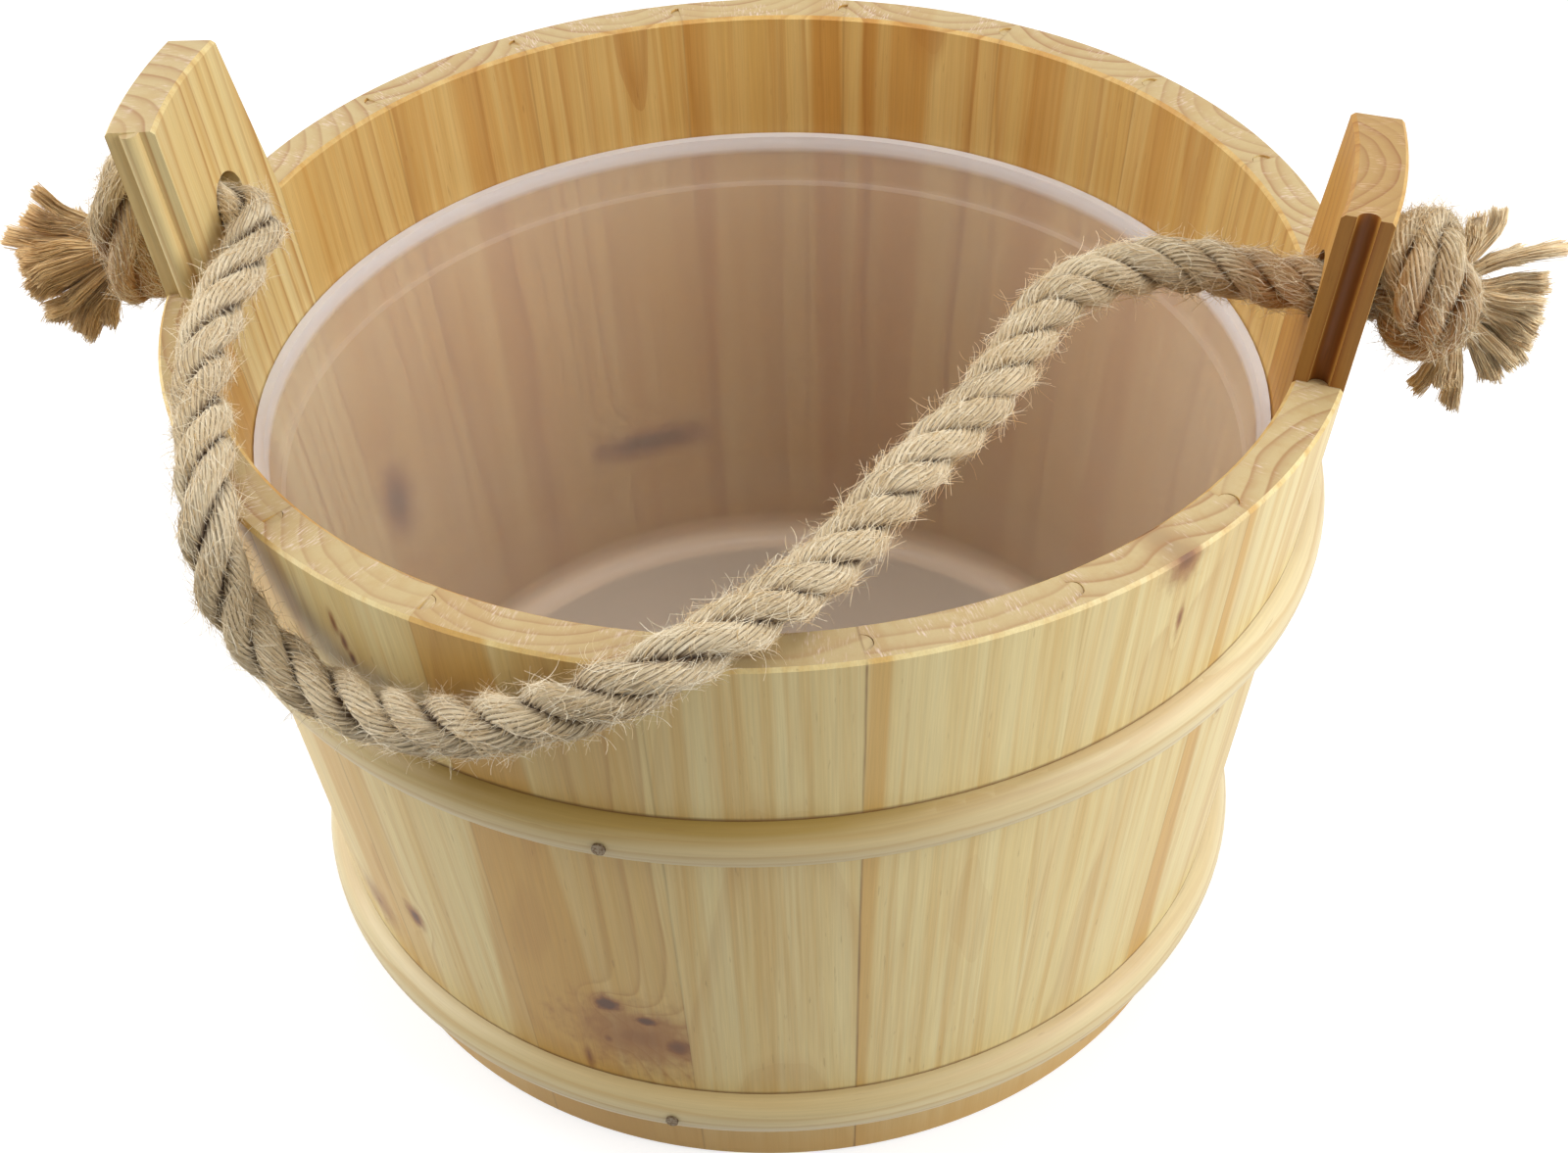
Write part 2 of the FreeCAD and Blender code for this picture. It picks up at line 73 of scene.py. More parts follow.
# Middle of the rope, from the left ear to the right one, in mm.
ROPE_ROUTE = (
    (-136.5, 0.0, 188.0), (-123.3, 0.0, 188.0), (-114.3, -8.4, 188.0), (-114.0, -22.6, 187.6),
    (-113.0, -41.6, 187.4), (-109.5, -60.9, 187.8), (-102.2, -79.0, 188.2), (-95.0, -95.9, 189.0),
    (-91.0, -108.5, 183.5), (-89.8, -111.9, 170.5), (-84.3, -114.6, 158.8), (-70.5, -120.7, 152.6),
    (-51.2, -130.0, 153.6), (-30.9, -137.2, 161.2), (-12.9, -142.0, 172.2), (1.5, -143.6, 181.2),
    (13.6, -138.5, 187.4), (27.0, -122.0, 187.4), (35.5, -105.0, 184.2), (41.0, -87.4, 183.8),
    (48.3, -69.6, 184.6), (57.6, -51.8, 185.2), (63.6, -32.7, 186.6), (68.4, -14.8, 189.2),
    (84.5, -3.5, 191.8), (102.0, 0.5, 190.6), (119.5, 0.0, 186.9), (136.5, 0.0, 187.2),
)
# Points of a line that are nearer to each other than this are one point.
SAME_POINT = 1e-7

# Middle of the rope in each knot, from the ear outwards, in mm.
LEFT_KNOT = (
    (-136.5, 0.0, 188.0), (-141.0, 0.5, 187.4), (-145.3, 5.0, 184.5), (-146.4, 10.0, 187.0),
    (-147.1, 6.5, 193.5), (-148.6, -2.5, 195.2), (-150.5, -8.5, 189.5), (-150.9, -9.0, 180.0),
    (-149.4, -9.5, 171.5), (-147.8, -6.0, 167.0), (-146.6, 1.0, 168.2), (-147.4, 8.2, 172.0),
    (-149.0, 9.0, 180.0), (-150.2, 3.5, 183.2), (-150.7, -1.5, 178.0), (-151.4, -0.6, 172.4),
    (-153.5, -0.5, 169.4),
)
RIGHT_KNOT = (
    (136.5, 0.0, 187.2), (141.0, 0.0, 185.6), (145.6, 3.0, 186.3), (148.1, 9.0, 188.8),
    (146.8, 8.5, 197.0), (143.6, 1.0, 202.0), (143.8, -8.0, 199.0), (147.1, -11.5, 190.5),
    (150.3, -9.0, 185.4), (151.8, -0.5, 183.2), (151.3, 8.6, 185.5), (150.5, 11.0, 191.4),
    (148.1, 7.5, 199.6), (147.4, -1.0, 202.2), (151.4, -8.4, 199.4), (153.8, -11.5, 190.4),
    (151.9, -9.0, 184.7), (147.1, -8.6, 182.3), (143.6, -2.4, 182.7), (145.6, 4.4, 184.8),
    (149.7, 2.6, 188.4), (154.0, 0.0, 189.3), (157.2, 0.0, 189.0),
)
SPAN_NAME = "rope"
KNOT_NAMES = ("knot_left", "knot_right")
TAIL_NAMES = ("tail_left", "tail_right")

# The three strands: their radius, how far their middles lie from the rope's, their yarns, how often
# those turn in one turn of the strand, the step between rings of points, the points in a ring, the
# seed of their unevenness, and how far one strand's texture lies from the next one's.
STRAND_COUNT = 3
STRAND_RADIUS = 2.9 * MM
STRAND_OFFSET = 3.15 * MM
STRAND_YARNS = 15
YARN_TURN_SHARE = 2.15
RING_STEP = 1.1 * MM
RING_SIDES = 75
STRAND_SEED = 11
STRAND_SHIFT = 0.1
# The length of a strand's turn, opened where the rope bends out of the left ear: place along the rope
# from that ear's middle, and length, in mm.
STRAND_TURNS = ((0, 54), (90, 54), (110, 38), (200, 41), (300, 38), (380, 36), (410, 30), (480, 30))
# A strand's section, as shares of its radius: the bottom of the grooves between yarns and their
# depth. The lower the exponent, the narrower the grooves.
YARN_BOTTOM = 0.84
YARN_DEPTH = 0.18
YARN_EXPONENT = 0.6
# Unevenness, as an amount and how often it changes in a metre: the lay and the yarns' turn in
# radians, the strand's thickness, its distance from the middle and each yarn's height as shares.
LAY_WAVER = (0.25, 60)
YARN_TURN_WAVER = (0.6, 60)
THICKNESS_WAVER = (0.06, 90)
OFFSET_WAVER = (0.05, 110)
YARN_WAVER = (0.09, 110)

# Loose fibres: how many on the span and on each knot, the share that stands up, how far round the
# strand's outer side they spread in radians, and how far out they start as a share of its radius.
# Each has points along it and sides round it, ends in a thinner tip, and curls more towards that tip.
FUZZ_COUNTS = (24000, 7000, 9000)
FUZZ_STANDING = 0.045
FUZZ_SPREAD = 0.9
FUZZ_OUT = 0.97
FIBRE_POINTS = 7
FIBRE_SIDES = 3
FIBRE_TIP = 0.5
FIBRE_LENGTHS_MM = (2.5, 7.5)
FIBRE_TEXTURE = 0.012
CURL_START, CURL_GROWTH = 0.7, 0.25
# Standing fibres, then lying ones: the range of their rise and radius, middle and spread of their
# swerve to the side, their curl, and how much they droop.
STANDING_RISE, LYING_RISE = (0.2, 1.2), (0.0, 0.16)
STANDING_SWERVE, LYING_SWERVE = (-0.3, 0.8), (-0.5, 0.35)
STANDING_CURL, LYING_CURL = 0.2, 0.11
STANDING_DROOP, LYING_DROOP = (0, 0.2), 0.09
STANDING_RADII_MM, LYING_RADII_MM = (0.025, 0.045), (0.045, 0.09)
# Seed of the draws for the loose fibres and the tails.
DRAW_SEED = 5

# Brown places of the rope: their middle and radius, in mm.
STAINS = ((116, 1, 182, 13), (145, -11, 184, 15), (-146, -4, 172, 15))

# Unlaid ends: the place in the knot that the bundles of yarns come from, and each bundle's bend, tip
# and thickness, in mm.
RIGHT_ROOT = (150.0, 0.0, 189.0)
RIGHT_BUNDLES = (
    ((157.0, 0.0, 197.0), (155.8, 0.0, 207.0), 2.3), ((165.0, 1.0, 198.4), (174.4, 2.0, 200.6), 1.7),
    ((165.0, -1.0, 192.0), (172.9, -2.0, 194.2), 1.7), ((165.0, 3.0, 189.0), (172.0, 4.0, 187.4), 1.8),
    ((165.0, -3.0, 190.0), (172.6, -5.0, 188.8), 1.8), ((165.5, -2.0, 185.5), (172.4, -3.0, 183.0), 1.9),
    ((165.0, 0.0, 182.0), (172.0, 0.0, 177.0), 1.9), ((164.5, 2.0, 179.5), (170.8, 3.0, 171.0), 1.8),
    ((163.5, -2.0, 178.5), (168.6, -3.0, 172.4), 1.9), ((161.5, -1.0, 177.0), (164.8, -2.0, 167.4), 2.0),
    ((161.0, 0.0, 172.0), (157.8, 0.0, 159.0), 1.8), ((158.0, -4.0, 175.0), (154.4, -6.0, 168.6), 1.9),
    ((157.0, -3.0, 172.5), (148.6, -4.0, 165.8), 1.6), ((163.0, 6.0, 193.0), (168.5, 11.0, 193.5), 1.9),
    ((163.0, 6.0, 184.0), (167.5, 11.0, 180.5), 1.9), ((160.5, 7.0, 197.0), (162.5, 11.0, 203.0), 1.8),
    ((160.0, 6.0, 178.0), (160.5, 10.0, 170.0), 1.8),
)
LEFT_ROOT = (-149.5, 0.0, 175.0)
LEFT_BUNDLES = (
    ((-165.0, 1.0, 178.5), (-174.6, 1.0, 186.6), 1.7), ((-168.0, 1.0, 174.0), (-179.0, 2.0, 178.6), 2.0),
    ((-170.0, 0.0, 172.0), (-184.6, 0.0, 174.2), 1.9), ((-170.0, -2.0, 171.0), (-180.6, -4.0, 171.0), 2.1),
    ((-169.0, -4.0, 172.5), (-176.0, -9.0, 174.0), 2.0), ((-170.0, 0.0, 168.0), (-182.0, 0.0, 165.4), 2.1),
    ((-168.0, -5.0, 169.0), (-174.6, -12.0, 167.4), 2.0), ((-169.0, -2.0, 166.5), (-179.4, -4.0, 161.4), 2.1),
    ((-168.5, 1.0, 164.0), (-179.0, 1.0, 157.4), 2.0), ((-166.0, -5.0, 165.0), (-171.6, -12.0, 160.6), 2.0),
    ((-167.0, -2.0, 162.5), (-175.4, -4.0, 154.0), 2.1), ((-166.0, 1.0, 160.5), (-173.4, 1.0, 149.8), 1.9),
    ((-164.5, 0.0, 160.0), (-169.8, 0.0, 146.0), 1.8), ((-162.5, -4.0, 162.0), (-166.4, -10.0, 154.4), 1.9),
    ((-162.0, 1.0, 161.0), (-163.8, 1.0, 150.4), 1.8), ((-160.0, -3.0, 163.0), (-159.8, -5.0, 156.0), 1.7),
    ((-166.0, 6.0, 172.0), (-174.0, 12.0, 172.4), 1.9), ((-166.0, 6.0, 166.0), (-173.0, 12.0, 161.6), 1.9),
    ((-163.0, 6.0, 162.0), (-167.0, 11.0, 154.6), 1.9), ((-167.0, -3.0, 171.0), (-173.0, -13.5, 171.6), 1.7),
)

# A bundle's rings, sides, ridges and fibres, its thickness at the knot and its growth to the cut end, how
# flat it is there, and how much, in mm, and how often it wavers. Its core and ridges are shares of that
# thickness. Its texture has a length and a radius, and counts as that far out of the rope for the painted
# shade between strands.
BUNDLE_RINGS = 22
BUNDLE_SIDES = 24
BUNDLE_RIDGES = 7
BUNDLE_FIBRES = 190
BUNDLE_START, BUNDLE_GROWTH = 0.55, 0.75
BUNDLE_FLATNESS = 0.45
BUNDLE_WAVER = (1.9, 3.4)
BUNDLE_CORE, BUNDLE_RIDGE = 0.52, 0.16
BUNDLE_TEXTURE = (0.02, 0.002)
BUNDLE_CROWN = 0.1
# The fibres round a bundle: on which rings they start, the share that reaches the cut end, on which
# rings the others end, how far out they lie, how far they spread at the end (shape and size of a
# gamma distribution), how far they swing round it in radians, how unevenly they are cut in mm
# (middle and spread), and their radii in mm.
COVER_FIRST_RINGS = (0, 8)
COVER_REACHING = 0.8
COVER_LAST_RINGS = (12, 20)
COVER_OUT = (0.45, 1.0)
COVER_SPREAD = (1.2, 0.12)
COVER_SWING = 0.45
COVER_CUT_MM = (0.2, 0.5)
COVER_RADII_MM = (0.09, 0.24)
# How much thicker the bundles are than listed, left and right.
LEFT_SWELL, RIGHT_SWELL = 1.30, 1.15

# The wall: its lean, the middle of its thickness at the base, and the joints between staves, in
# degrees counter-clockwise from +X: the left ear, the front staves, the right ear, the back staves.
LEAN = math.atan(23.5 / 180)
WALL_MIDDLE_MM = 106.0
FIRST_JOINT = -190.05
EAR_ARC = 21.8
FRONT_ARCS = (19.8, 20.1, 19.5, 20.0, 18.6, 19.2, 18.9, 20.4)
BACK_COUNT = 8
# The hoops: middle heights, half their width, the radius at which their grain is laid out, and how
# olive each upper edge is.
HOOP_MIDDLES_MM = (127.5, 22.2)
HOOP_HALF_MM = 6.0
HOOP_RADIUS_MM = 128.0
HOOP_OLIVE = (1.0, 0.5)
BOARD_COUNT = 4
# Steps between the parts of the noise that staves, hoops and boards take.
STAVE_SEED_STEP = (37.7, 11.3, 53.1)
HOOP_SEED_STEP = 97.0
BOARD_SEED_STEP = (61.0, 17.0, 0)


def shade(red, green, blue):
    """A colour as it is seen, 0 to 255, as the linear values that a shader takes."""
    seen = [value / 255 for value in (red, green, blue)]
    return tuple(v / 12.92 if v <= 0.04045 else ((v + 0.055) / 1.055) ** 2.4 for v in seen) + (1.0,)


PALE_WOOD = shade(234, 216, 160)
WARM_WOOD = shade(220, 188, 116)
HEART_WOOD = shade(206, 160, 82)
LATE_WOOD = shade(182, 132, 66)
PORE_WOOD = shade(140, 96, 54)
KNOT_WOOD = shade(146, 92, 42)
KNOT_HEART = shade(84, 52, 34)
# Painted shade inside the pail, as a darker, warmer tint.
INSIDE_PAINTED_SHADE = shade(236, 214, 180)
END_WOOD = shade(176, 153, 112)
END_LATE = shade(150, 104, 62)
SAW_FUZZ = shade(228, 208, 196)
BARE_EDGE = shade(206, 180, 146)
# Painted shade in the bare edge's cove.
COVE_PAINTED_SHADE = shade(216, 188, 140)
OLIVE_BARK = shade(166, 138, 72)
# Dark joint lines between staves, also used for painted shade in the crease over each hoop.
DARK_JOINT_AND_CREASE_SHADE = shade(112, 74, 38)
EAR_TINT = shade(234, 216, 188)
HOOP_PALE = shade(230, 214, 170)
HOOP_WARM = shade(214, 188, 134)
LINER_WARM = shade(252, 237, 225)
LINER_PALE = shade(254, 247, 240)
# Painted light on the liner: a warmer floor, and a whiter lip that is partly its denser plastic.
LINER_FLOOR_PAINTED_LIGHT = shade(255, 240, 222)
LINER_LIP_AND_PAINTED_LIGHT = shade(255, 253, 255)
STEEL = shade(132, 120, 100)
RUST = shade(84, 60, 36)
STAIN_BROWN = shade(194, 134, 68)
# Jute tones: painted shade between the yarns and strands, their flanks, their crests. Loose fibres: darkest
# and palest.
ROPE_JUTE = (shade(88, 60, 30), shade(194, 166, 118), shade(250, 236, 206))
LEFT_TAIL_JUTE = (shade(142, 92, 42), shade(212, 160, 92), shade(250, 222, 168))
RIGHT_TAIL_JUTE = (shade(166, 120, 66), shade(232, 192, 132), shade(255, 241, 206))
LOOSE_JUTE = (shade(206, 176, 126), shade(252, 243, 220))

# How dark the late wood is across one growth ring, as stops from its inner to its outer side.
STAVE_RING = ((0.0, 0.55), (0.07, 0.0), (0.45, 0.10), (0.78, 0.42), (0.94, 1.0), (1.0, 0.8))
HOOP_RING = ((0.0, 0.5), (0.08, 0.0), (0.55, 0.12), (0.92, 1.0), (1.0, 0.8))
BOARD_RING = ((0.0, 0.4), (0.1, 0.0), (0.6, 0.15), (0.93, 1.0), (1.0, 0.8))
# How much of a face counts as turned to a direction, by the cosine of the angle between them.
FACING = ((0.3, 0.0), (0.7, 1.0))
# The liner's cover, 0 clear and 1 solid, by height in mm: dense floor and corner, thin wall, dense
# lip. Ramps over its height reach up to the span.
LINER_SPAN_MM = 200.0
LINER_COVER = ((0.0, 0.90), (23.6, 0.90), (30.0, 0.34), (50.0, 0.28), (143.0, 0.28), (144.4, 0.82))


class Graph:
    """Builds the nodes of one material or of the world. Inputs are numbers, colours or sockets."""

    def __init__(self, name=None, world=None):
        self.owner = world or bpy.data.materials.new(name)
        self.owner.use_nodes = True
        self.tree = self.owner.node_tree
        self.tree.nodes.clear()
        self.end = self.tree.nodes.new("ShaderNodeOutput" + ("World" if world else "Material"))

    def put(self, socket, value):
        if isinstance(value, bpy.types.NodeSocket):
            self.tree.links.new(value, socket)
        elif isinstance(value, (tuple, list, Vector)):
            socket.default_value = tuple(value)[:len(socket.default_value)]
        else:
            socket.default_value = value

    def node(self, kind, settings=None, **inputs):
        """A new node. Inputs go by name, or by place as i0, i1 and so on."""
        made = self.tree.nodes.new("ShaderNode" + kind)
        for key, value in (settings or {}).items():
            setattr(made, key, value)
        for key, value in inputs.items():
            place = int(key[1:]) if key[0] == "i" and key[1:].isdigit() else key.replace("_", " ")
            self.put(made.inputs[place], value)
        return made

    def math(self, operation, first, second=0.0, third=0.0, clamp=False):
        settings = {"operation": operation, "use_clamp": clamp}
        return self.node("Math", settings, i0=first, i1=second, i2=third).outputs[0]

    def plus(self, first, second):
        return self.math("ADD", first, second)

    def minus(self, first, second):
        return self.math("SUBTRACT", first, second)

    def times(self, first, second):
        return self.math("MULTIPLY", first, second)

    def over(self, first, second):
        return self.math("DIVIDE", first, second)

    def times_plus(self, first, second, third, clamp=False):
        """first times second, plus third."""
        return self.math("MULTIPLY_ADD", first, second, third, clamp)

    def size(self, value):
        """The number without its sign."""
        return self.math("ABSOLUTE", value)

    def squares(self, first, second):
        """The sum of both numbers' squares."""
        return self.plus(self.times(first, first), self.times(second, second))

    def mix(self, share, first, second, kind="MIX"):
        settings = {"data_type": "RGBA", "blend_type": kind}
        return self.node("Mix", settings, i0=share, i6=first, i7=second).outputs[2]

    def tinted(self, share, colour, tint):
        """The colour, multiplied by the tint to that share."""
        return self.mix(share, colour, tint, "MULTIPLY")

    def ramp(self, value, *stops, span=1.0, kind="LINEAR"):
        """A number from a number: each stop is (place, height), with places from 0 to span."""
        made = self.node("ValToRGB", i0=value if span == 1.0 else self.over(value, span))
        ramp = made.color_ramp
        ramp.interpolation = kind
        while len(ramp.elements) < len(stops):
            ramp.elements.new(0.5)
        for element, (place, height) in zip(ramp.elements, stops):
            element.position = place / span
            element.color = (height, height, height, 1)
        return made.outputs[0]

    def noise(self, place, scale, detail=2.0, roughness=0.5, distortion=0.0):
        made = self.node("TexNoise", Vector=place, Scale=scale, Detail=detail,
                         Roughness=roughness, Distortion=distortion)
        return made.outputs["Fac"]

    def grain(self, place, lengths, detail=3.0, roughness=0.6, distortion=0.0):
        """Noise whose patches are about that long on each axis."""
        scale = tuple(1 / length for length in lengths)
        scaled = self.node("VectorMath", {"operation": "MULTIPLY"}, i0=place, i1=scale).outputs[0]
        return self.noise(scaled, 1.0, detail, roughness, distortion)

    def drifting(self, place, lengths):
        """Smooth noise from -0.5 to 0.5."""
        return self.minus(self.grain(place, lengths, 2, 0.5), 0.5)

    def dot(self, place, direction):
        made = self.node("VectorMath", {"operation": "DOT_PRODUCT"}, i0=place, i1=direction)
        return made.outputs["Value"]

    def separate(self, place):
        return self.node("SeparateXYZ", i0=place).outputs

    def object_place(self):
        return self.node("TexCoord").outputs["Object"]

    def uv(self, layer):
        return self.separate(self.node("UVMap", {"uv_map": layer}).outputs[0])

    def fibred(self, colour, fibres, darkest):
        """The colour, darkened in streaks down to the share darkest."""
        grey = self.ramp(fibres, (0.25, darkest), (0.75, 1.0))
        return self.tinted(1.0, colour, self.node("CombineXYZ", i0=grey, i1=grey, i2=grey).outputs[0])

    def bump(self, height, strength, distance):
        return self.node("Bump", Strength=strength, Distance=distance, Height=height).outputs[0]

    def surface(self, shader):
        self.tree.links.new(shader, self.end.inputs["Surface"])
        return self.owner

    def principled(self, colour, roughness, **inputs):
        shader = self.node("BsdfPrincipled", Base_Color=colour, Roughness=roughness, **inputs)
        return self.surface(shader.outputs[0])


def set_camera():
    camera = bpy.data.objects.new("camera", bpy.data.cameras.new("camera"))
    bpy.context.scene.collection.objects.link(camera)
    turn = Matrix((CAMERA_RIGHT, CAMERA_UP, CAMERA_BACK)).transposed().to_4x4()
    camera.matrix_world = Matrix.Translation(CAMERA_PLACE) @ turn
    camera.data.sensor_fit = "HORIZONTAL"
    camera.data.sensor_width = CAMERA_SENSOR
    camera.data.lens = CAMERA_LENS
    camera.data.clip_start = CAMERA_NEAR
    bpy.context.scene.camera = camera


def line_through(name, points):
    """The smooth line that a rope follows: a NURBS spline with those control points, in mm."""
    data = bpy.data.curves.new(name + "_line", "CURVE")
    data.dimensions = "3D"
    data.resolution_u = 16
    spline = data.splines.new("NURBS")
    spline.points.add(len(points) - 1)
    for point, place in zip(spline.points, points):
        point.co = (*(Vector(place) * MM), 1)
    spline.order_u = 3
    spline.use_endpoint_u = True
    holder = bpy.data.objects.new(name + "_line", data)
    mesh = bpy.data.meshes.new_from_object(holder)
    line = np.array([vertex.co for vertex in mesh.vertices])
    bpy.data.meshes.remove(mesh)
    bpy.data.objects.remove(holder)
    bpy.data.curves.remove(data)
    return line


def distances(line):
    """How far along the line each of its points lies."""
    return np.r_[0, np.cumsum(np.linalg.norm(np.diff(line, axis=0), axis=1))]


def even(line, step):
    """The line at even steps, without points that lie on each other."""
    runs = np.linalg.norm(np.diff(line, axis=0), axis=1)
    line = line[np.r_[True, runs > SAME_POINT]]
    along = distances(line)
    count = max(int(round(along[-1] / step)), 2) + 1
    wanted = np.linspace(0, along[-1], count)
    return np.stack([np.interp(wanted, along, line[:, axis]) for axis in range(3)], axis=1)


def unit(vectors):
    return vectors / np.maximum(np.linalg.norm(vectors, axis=-1, keepdims=True), 1e-12)


def frames(line):
    """Directions along a line and two across it that don't turn more than the line does."""
    along = unit(np.gradient(line, axis=0))
    side = np.zeros_like(line)
    start = Vector(along[0]).orthogonal()
    side[0] = np.array(start.normalized())
    for i in range(1, len(line)):
        bent = side[i - 1] - along[i] * (side[i - 1] @ along[i])
        side[i] = bent / np.linalg.norm(bent)
    return along, side, np.cross(along, side)


def tube(rings):
    """Vertices and faces of a closed skin over rings of points."""
    count, sides, _ = rings.shape
    vertices = rings.reshape(-1, 3)
    first = np.arange(count - 1)[:, None] * sides + np.arange(sides)[None, :]
    turned = np.arange(count - 1)[:, None] * sides + (np.arange(sides)[None, :] + 1) % sides
    faces = np.stack([first, turned, turned + sides, first + sides], axis=-1).reshape(-1, 4).tolist()
    faces.append(list(range(sides))[::-1])
    faces.append([(count - 1) * sides + i for i in range(sides)])
    return vertices, faces


def mesh_object(name, parts, material, smooth=True):
    """One object from several parts: vertices, faces, and for each vertex its place along and across
    the fibres and how far it faces out of the rope, 1 on a crown and -1 inside."""
    vertices, faces, uvs, total = [], [], [], 0
    for part_vertices, part_faces, part_uv in parts:
        vertices.append(part_vertices)
        uvs.append(part_uv)
        faces += [[index + total for index in face] for face in part_faces]
        total += len(part_vertices)
    mesh = bpy.data.meshes.new(name)
    mesh.from_pydata(np.concatenate(vertices).tolist(), [], faces)
    corners = np.zeros(len(mesh.loops), np.int32)
    mesh.loops.foreach_get("vertex_index", corners)
    uv = np.concatenate(uvs)[corners].astype(np.float32)
    mesh.uv_layers.new(name="along_across").data.foreach_set("uv", uv[:, :2].ravel())
    mesh.uv_layers.new(name="crown").data.foreach_set("uv", uv[:, [2, 2]].ravel())
    if smooth:
        mesh.shade_smooth()
    mesh.materials.append(material)
    made = bpy.data.objects.new(name, mesh)
    bpy.context.scene.collection.objects.link(made)
    return made


def waver(values, seed, amount, scale):
    """Smooth random numbers from -amount to amount, one for each value."""
    return amount * np.array([noise.noise(Vector((value * scale, seed * 7.31, seed * 1.77)))
                              for value in values])


def turned_about(way, first, second):
    """The direction that lies that far round from the first direction towards the second."""
    return np.cos(way) * first + np.sin(way) * second


def strand(line, along_line, turns, number):
    """One strand of the rope along its middle line: its rings, where its surface's yarns run, and
    its middle, run and two directions across."""
    seed = STRAND_SEED + number
    _, side, across = frames(line)
    way = 2 * math.pi * (turns + number / STRAND_COUNT) + waver(along_line, seed, *LAY_WAVER)
    out = turned_about(way[:, None], side, across)
    offset = STRAND_OFFSET * (1 + waver(along_line, seed + 5, *OFFSET_WAVER))
    middle = line + out * offset[:, None]
    run = unit(np.gradient(middle, axis=0))
    out = unit(out - run * np.sum(out * run, axis=1)[:, None])
    flank = np.cross(run, out)

    yarn_way = -2 * math.pi * YARN_TURN_SHARE * turns + waver(along_line, seed + 9, *YARN_TURN_WAVER)
    base = np.arange(RING_SIDES) * 2 * math.pi / RING_SIDES
    round_way = yarn_way[:, None] + base[None, :]
    yarn = (np.arange(RING_SIDES) * STRAND_YARNS // RING_SIDES).astype(int)
    heights = [waver(along_line, seed + 20 + 3.7 * i, *YARN_WAVER) for i in range(STRAND_YARNS)]
    lift = np.stack(heights, axis=1)[:, yarn]
    groove = np.abs(np.sin(STRAND_YARNS * base / 2)) ** YARN_EXPONENT
    swell = 1 + waver(along_line, seed + 3, *THICKNESS_WAVER)
    radius = STRAND_RADIUS * swell[:, None] * (YARN_BOTTOM + YARN_DEPTH * groove[None, :] + lift)
    facing = turned_about(round_way[..., None], out[:, None, :], flank[:, None, :])
    rings = middle[:, None, :] + radius[..., None] * facing

    uv = np.zeros(rings.shape)
    uv[..., 0] = along_line[:, None]
    uv[..., 1] = base * STRAND_RADIUS + STRAND_SHIFT * number
    uv[..., 2] = np.cos(round_way)
    return rings, uv, (middle, run, out, flank)


def hairs(points, radii, draw):
    """Thin three-sided fibres: points is fibres x points x 3."""
    count, steps, _ = points.shape
    along = unit(np.gradient(points, axis=1))
    side = unit(np.cross(along, unit(draw.normal(size=(count, 1, 3)))))
    across = np.cross(along, side)
    thin = (radii[:, None] * np.linspace(1, FIBRE_TIP, steps))[..., None]
    ways = np.arange(FIBRE_SIDES) * 2 * math.pi / FIBRE_SIDES
    rings = np.stack([points + thin * turned_about(way, side, across) for way in ways], axis=2)
    grid = np.arange(count * steps * FIBRE_SIDES).reshape(count, steps, FIBRE_SIDES)
    turned = np.roll(grid, -1, axis=2)
    quads = np.stack([grid[:, :-1], turned[:, :-1], turned[:, 1:], grid[:, 1:]], axis=-1).reshape(-1, 4)
    caps = np.concatenate([grid[:, 0, ::-1], grid[:, -1]])
    uv = np.ones(rings.shape)
    uv[..., 0] = np.linspace(0, FIBRE_TEXTURE, steps)[None, :, None]
    uv[..., 1] = draw.uniform(0, 1, (count, 1, 1))
    return rings.reshape(-1, 3), quads.tolist() + caps.tolist(), uv.reshape(-1, 3)


def fuzz(strands, count, draw):
    """Fibres that have come loose: most lie along the yarns, a share of them stands up."""
    middle, run, out, flank = (np.concatenate([facts[i] for facts in strands]) for i in range(4))
    pick = draw.randint(0, len(middle), count)
    way = draw.normal(0, FUZZ_SPREAD, count)[:, None]
    normal = turned_about(way, out[pick], flank[pick])
    tangent = turned_about(way, flank[pick], -out[pick])
    one_each = (count, 1)
    stands = draw.uniform(size=one_each) < FUZZ_STANDING
    rise = np.where(stands, draw.uniform(*STANDING_RISE, one_each), draw.uniform(*LYING_RISE, one_each))
    swerve = np.where(stands, draw.normal(*STANDING_SWERVE, one_each), draw.normal(*LYING_SWERVE, one_each))
    heading = unit((run[pick] + tangent * swerve) * draw.choice((-1, 1), one_each) + normal * rise)
    length = draw.uniform(*FIBRE_LENGTHS_MM, count) * MM
    curl = draw.normal(0, 1, (count, 3)) * np.where(stands, STANDING_CURL, LYING_CURL)
    curl -= normal * np.where(stands, draw.uniform(*STANDING_DROOP, one_each), LYING_DROOP)
    points = [middle[pick] + normal * STRAND_RADIUS * FUZZ_OUT]
    for step in range(FIBRE_POINTS - 1):
        heading = unit(heading + curl * (CURL_START + CURL_GROWTH * step))
        points.append(points[-1] + heading * length[:, None] / (FIBRE_POINTS - 1))
    radii = np.where(stands[:, 0], draw.uniform(*STANDING_RADII_MM, count),
                     draw.uniform(*LYING_RADII_MM, count)) * MM
    return hairs(np.stack(points, axis=1), radii, draw)


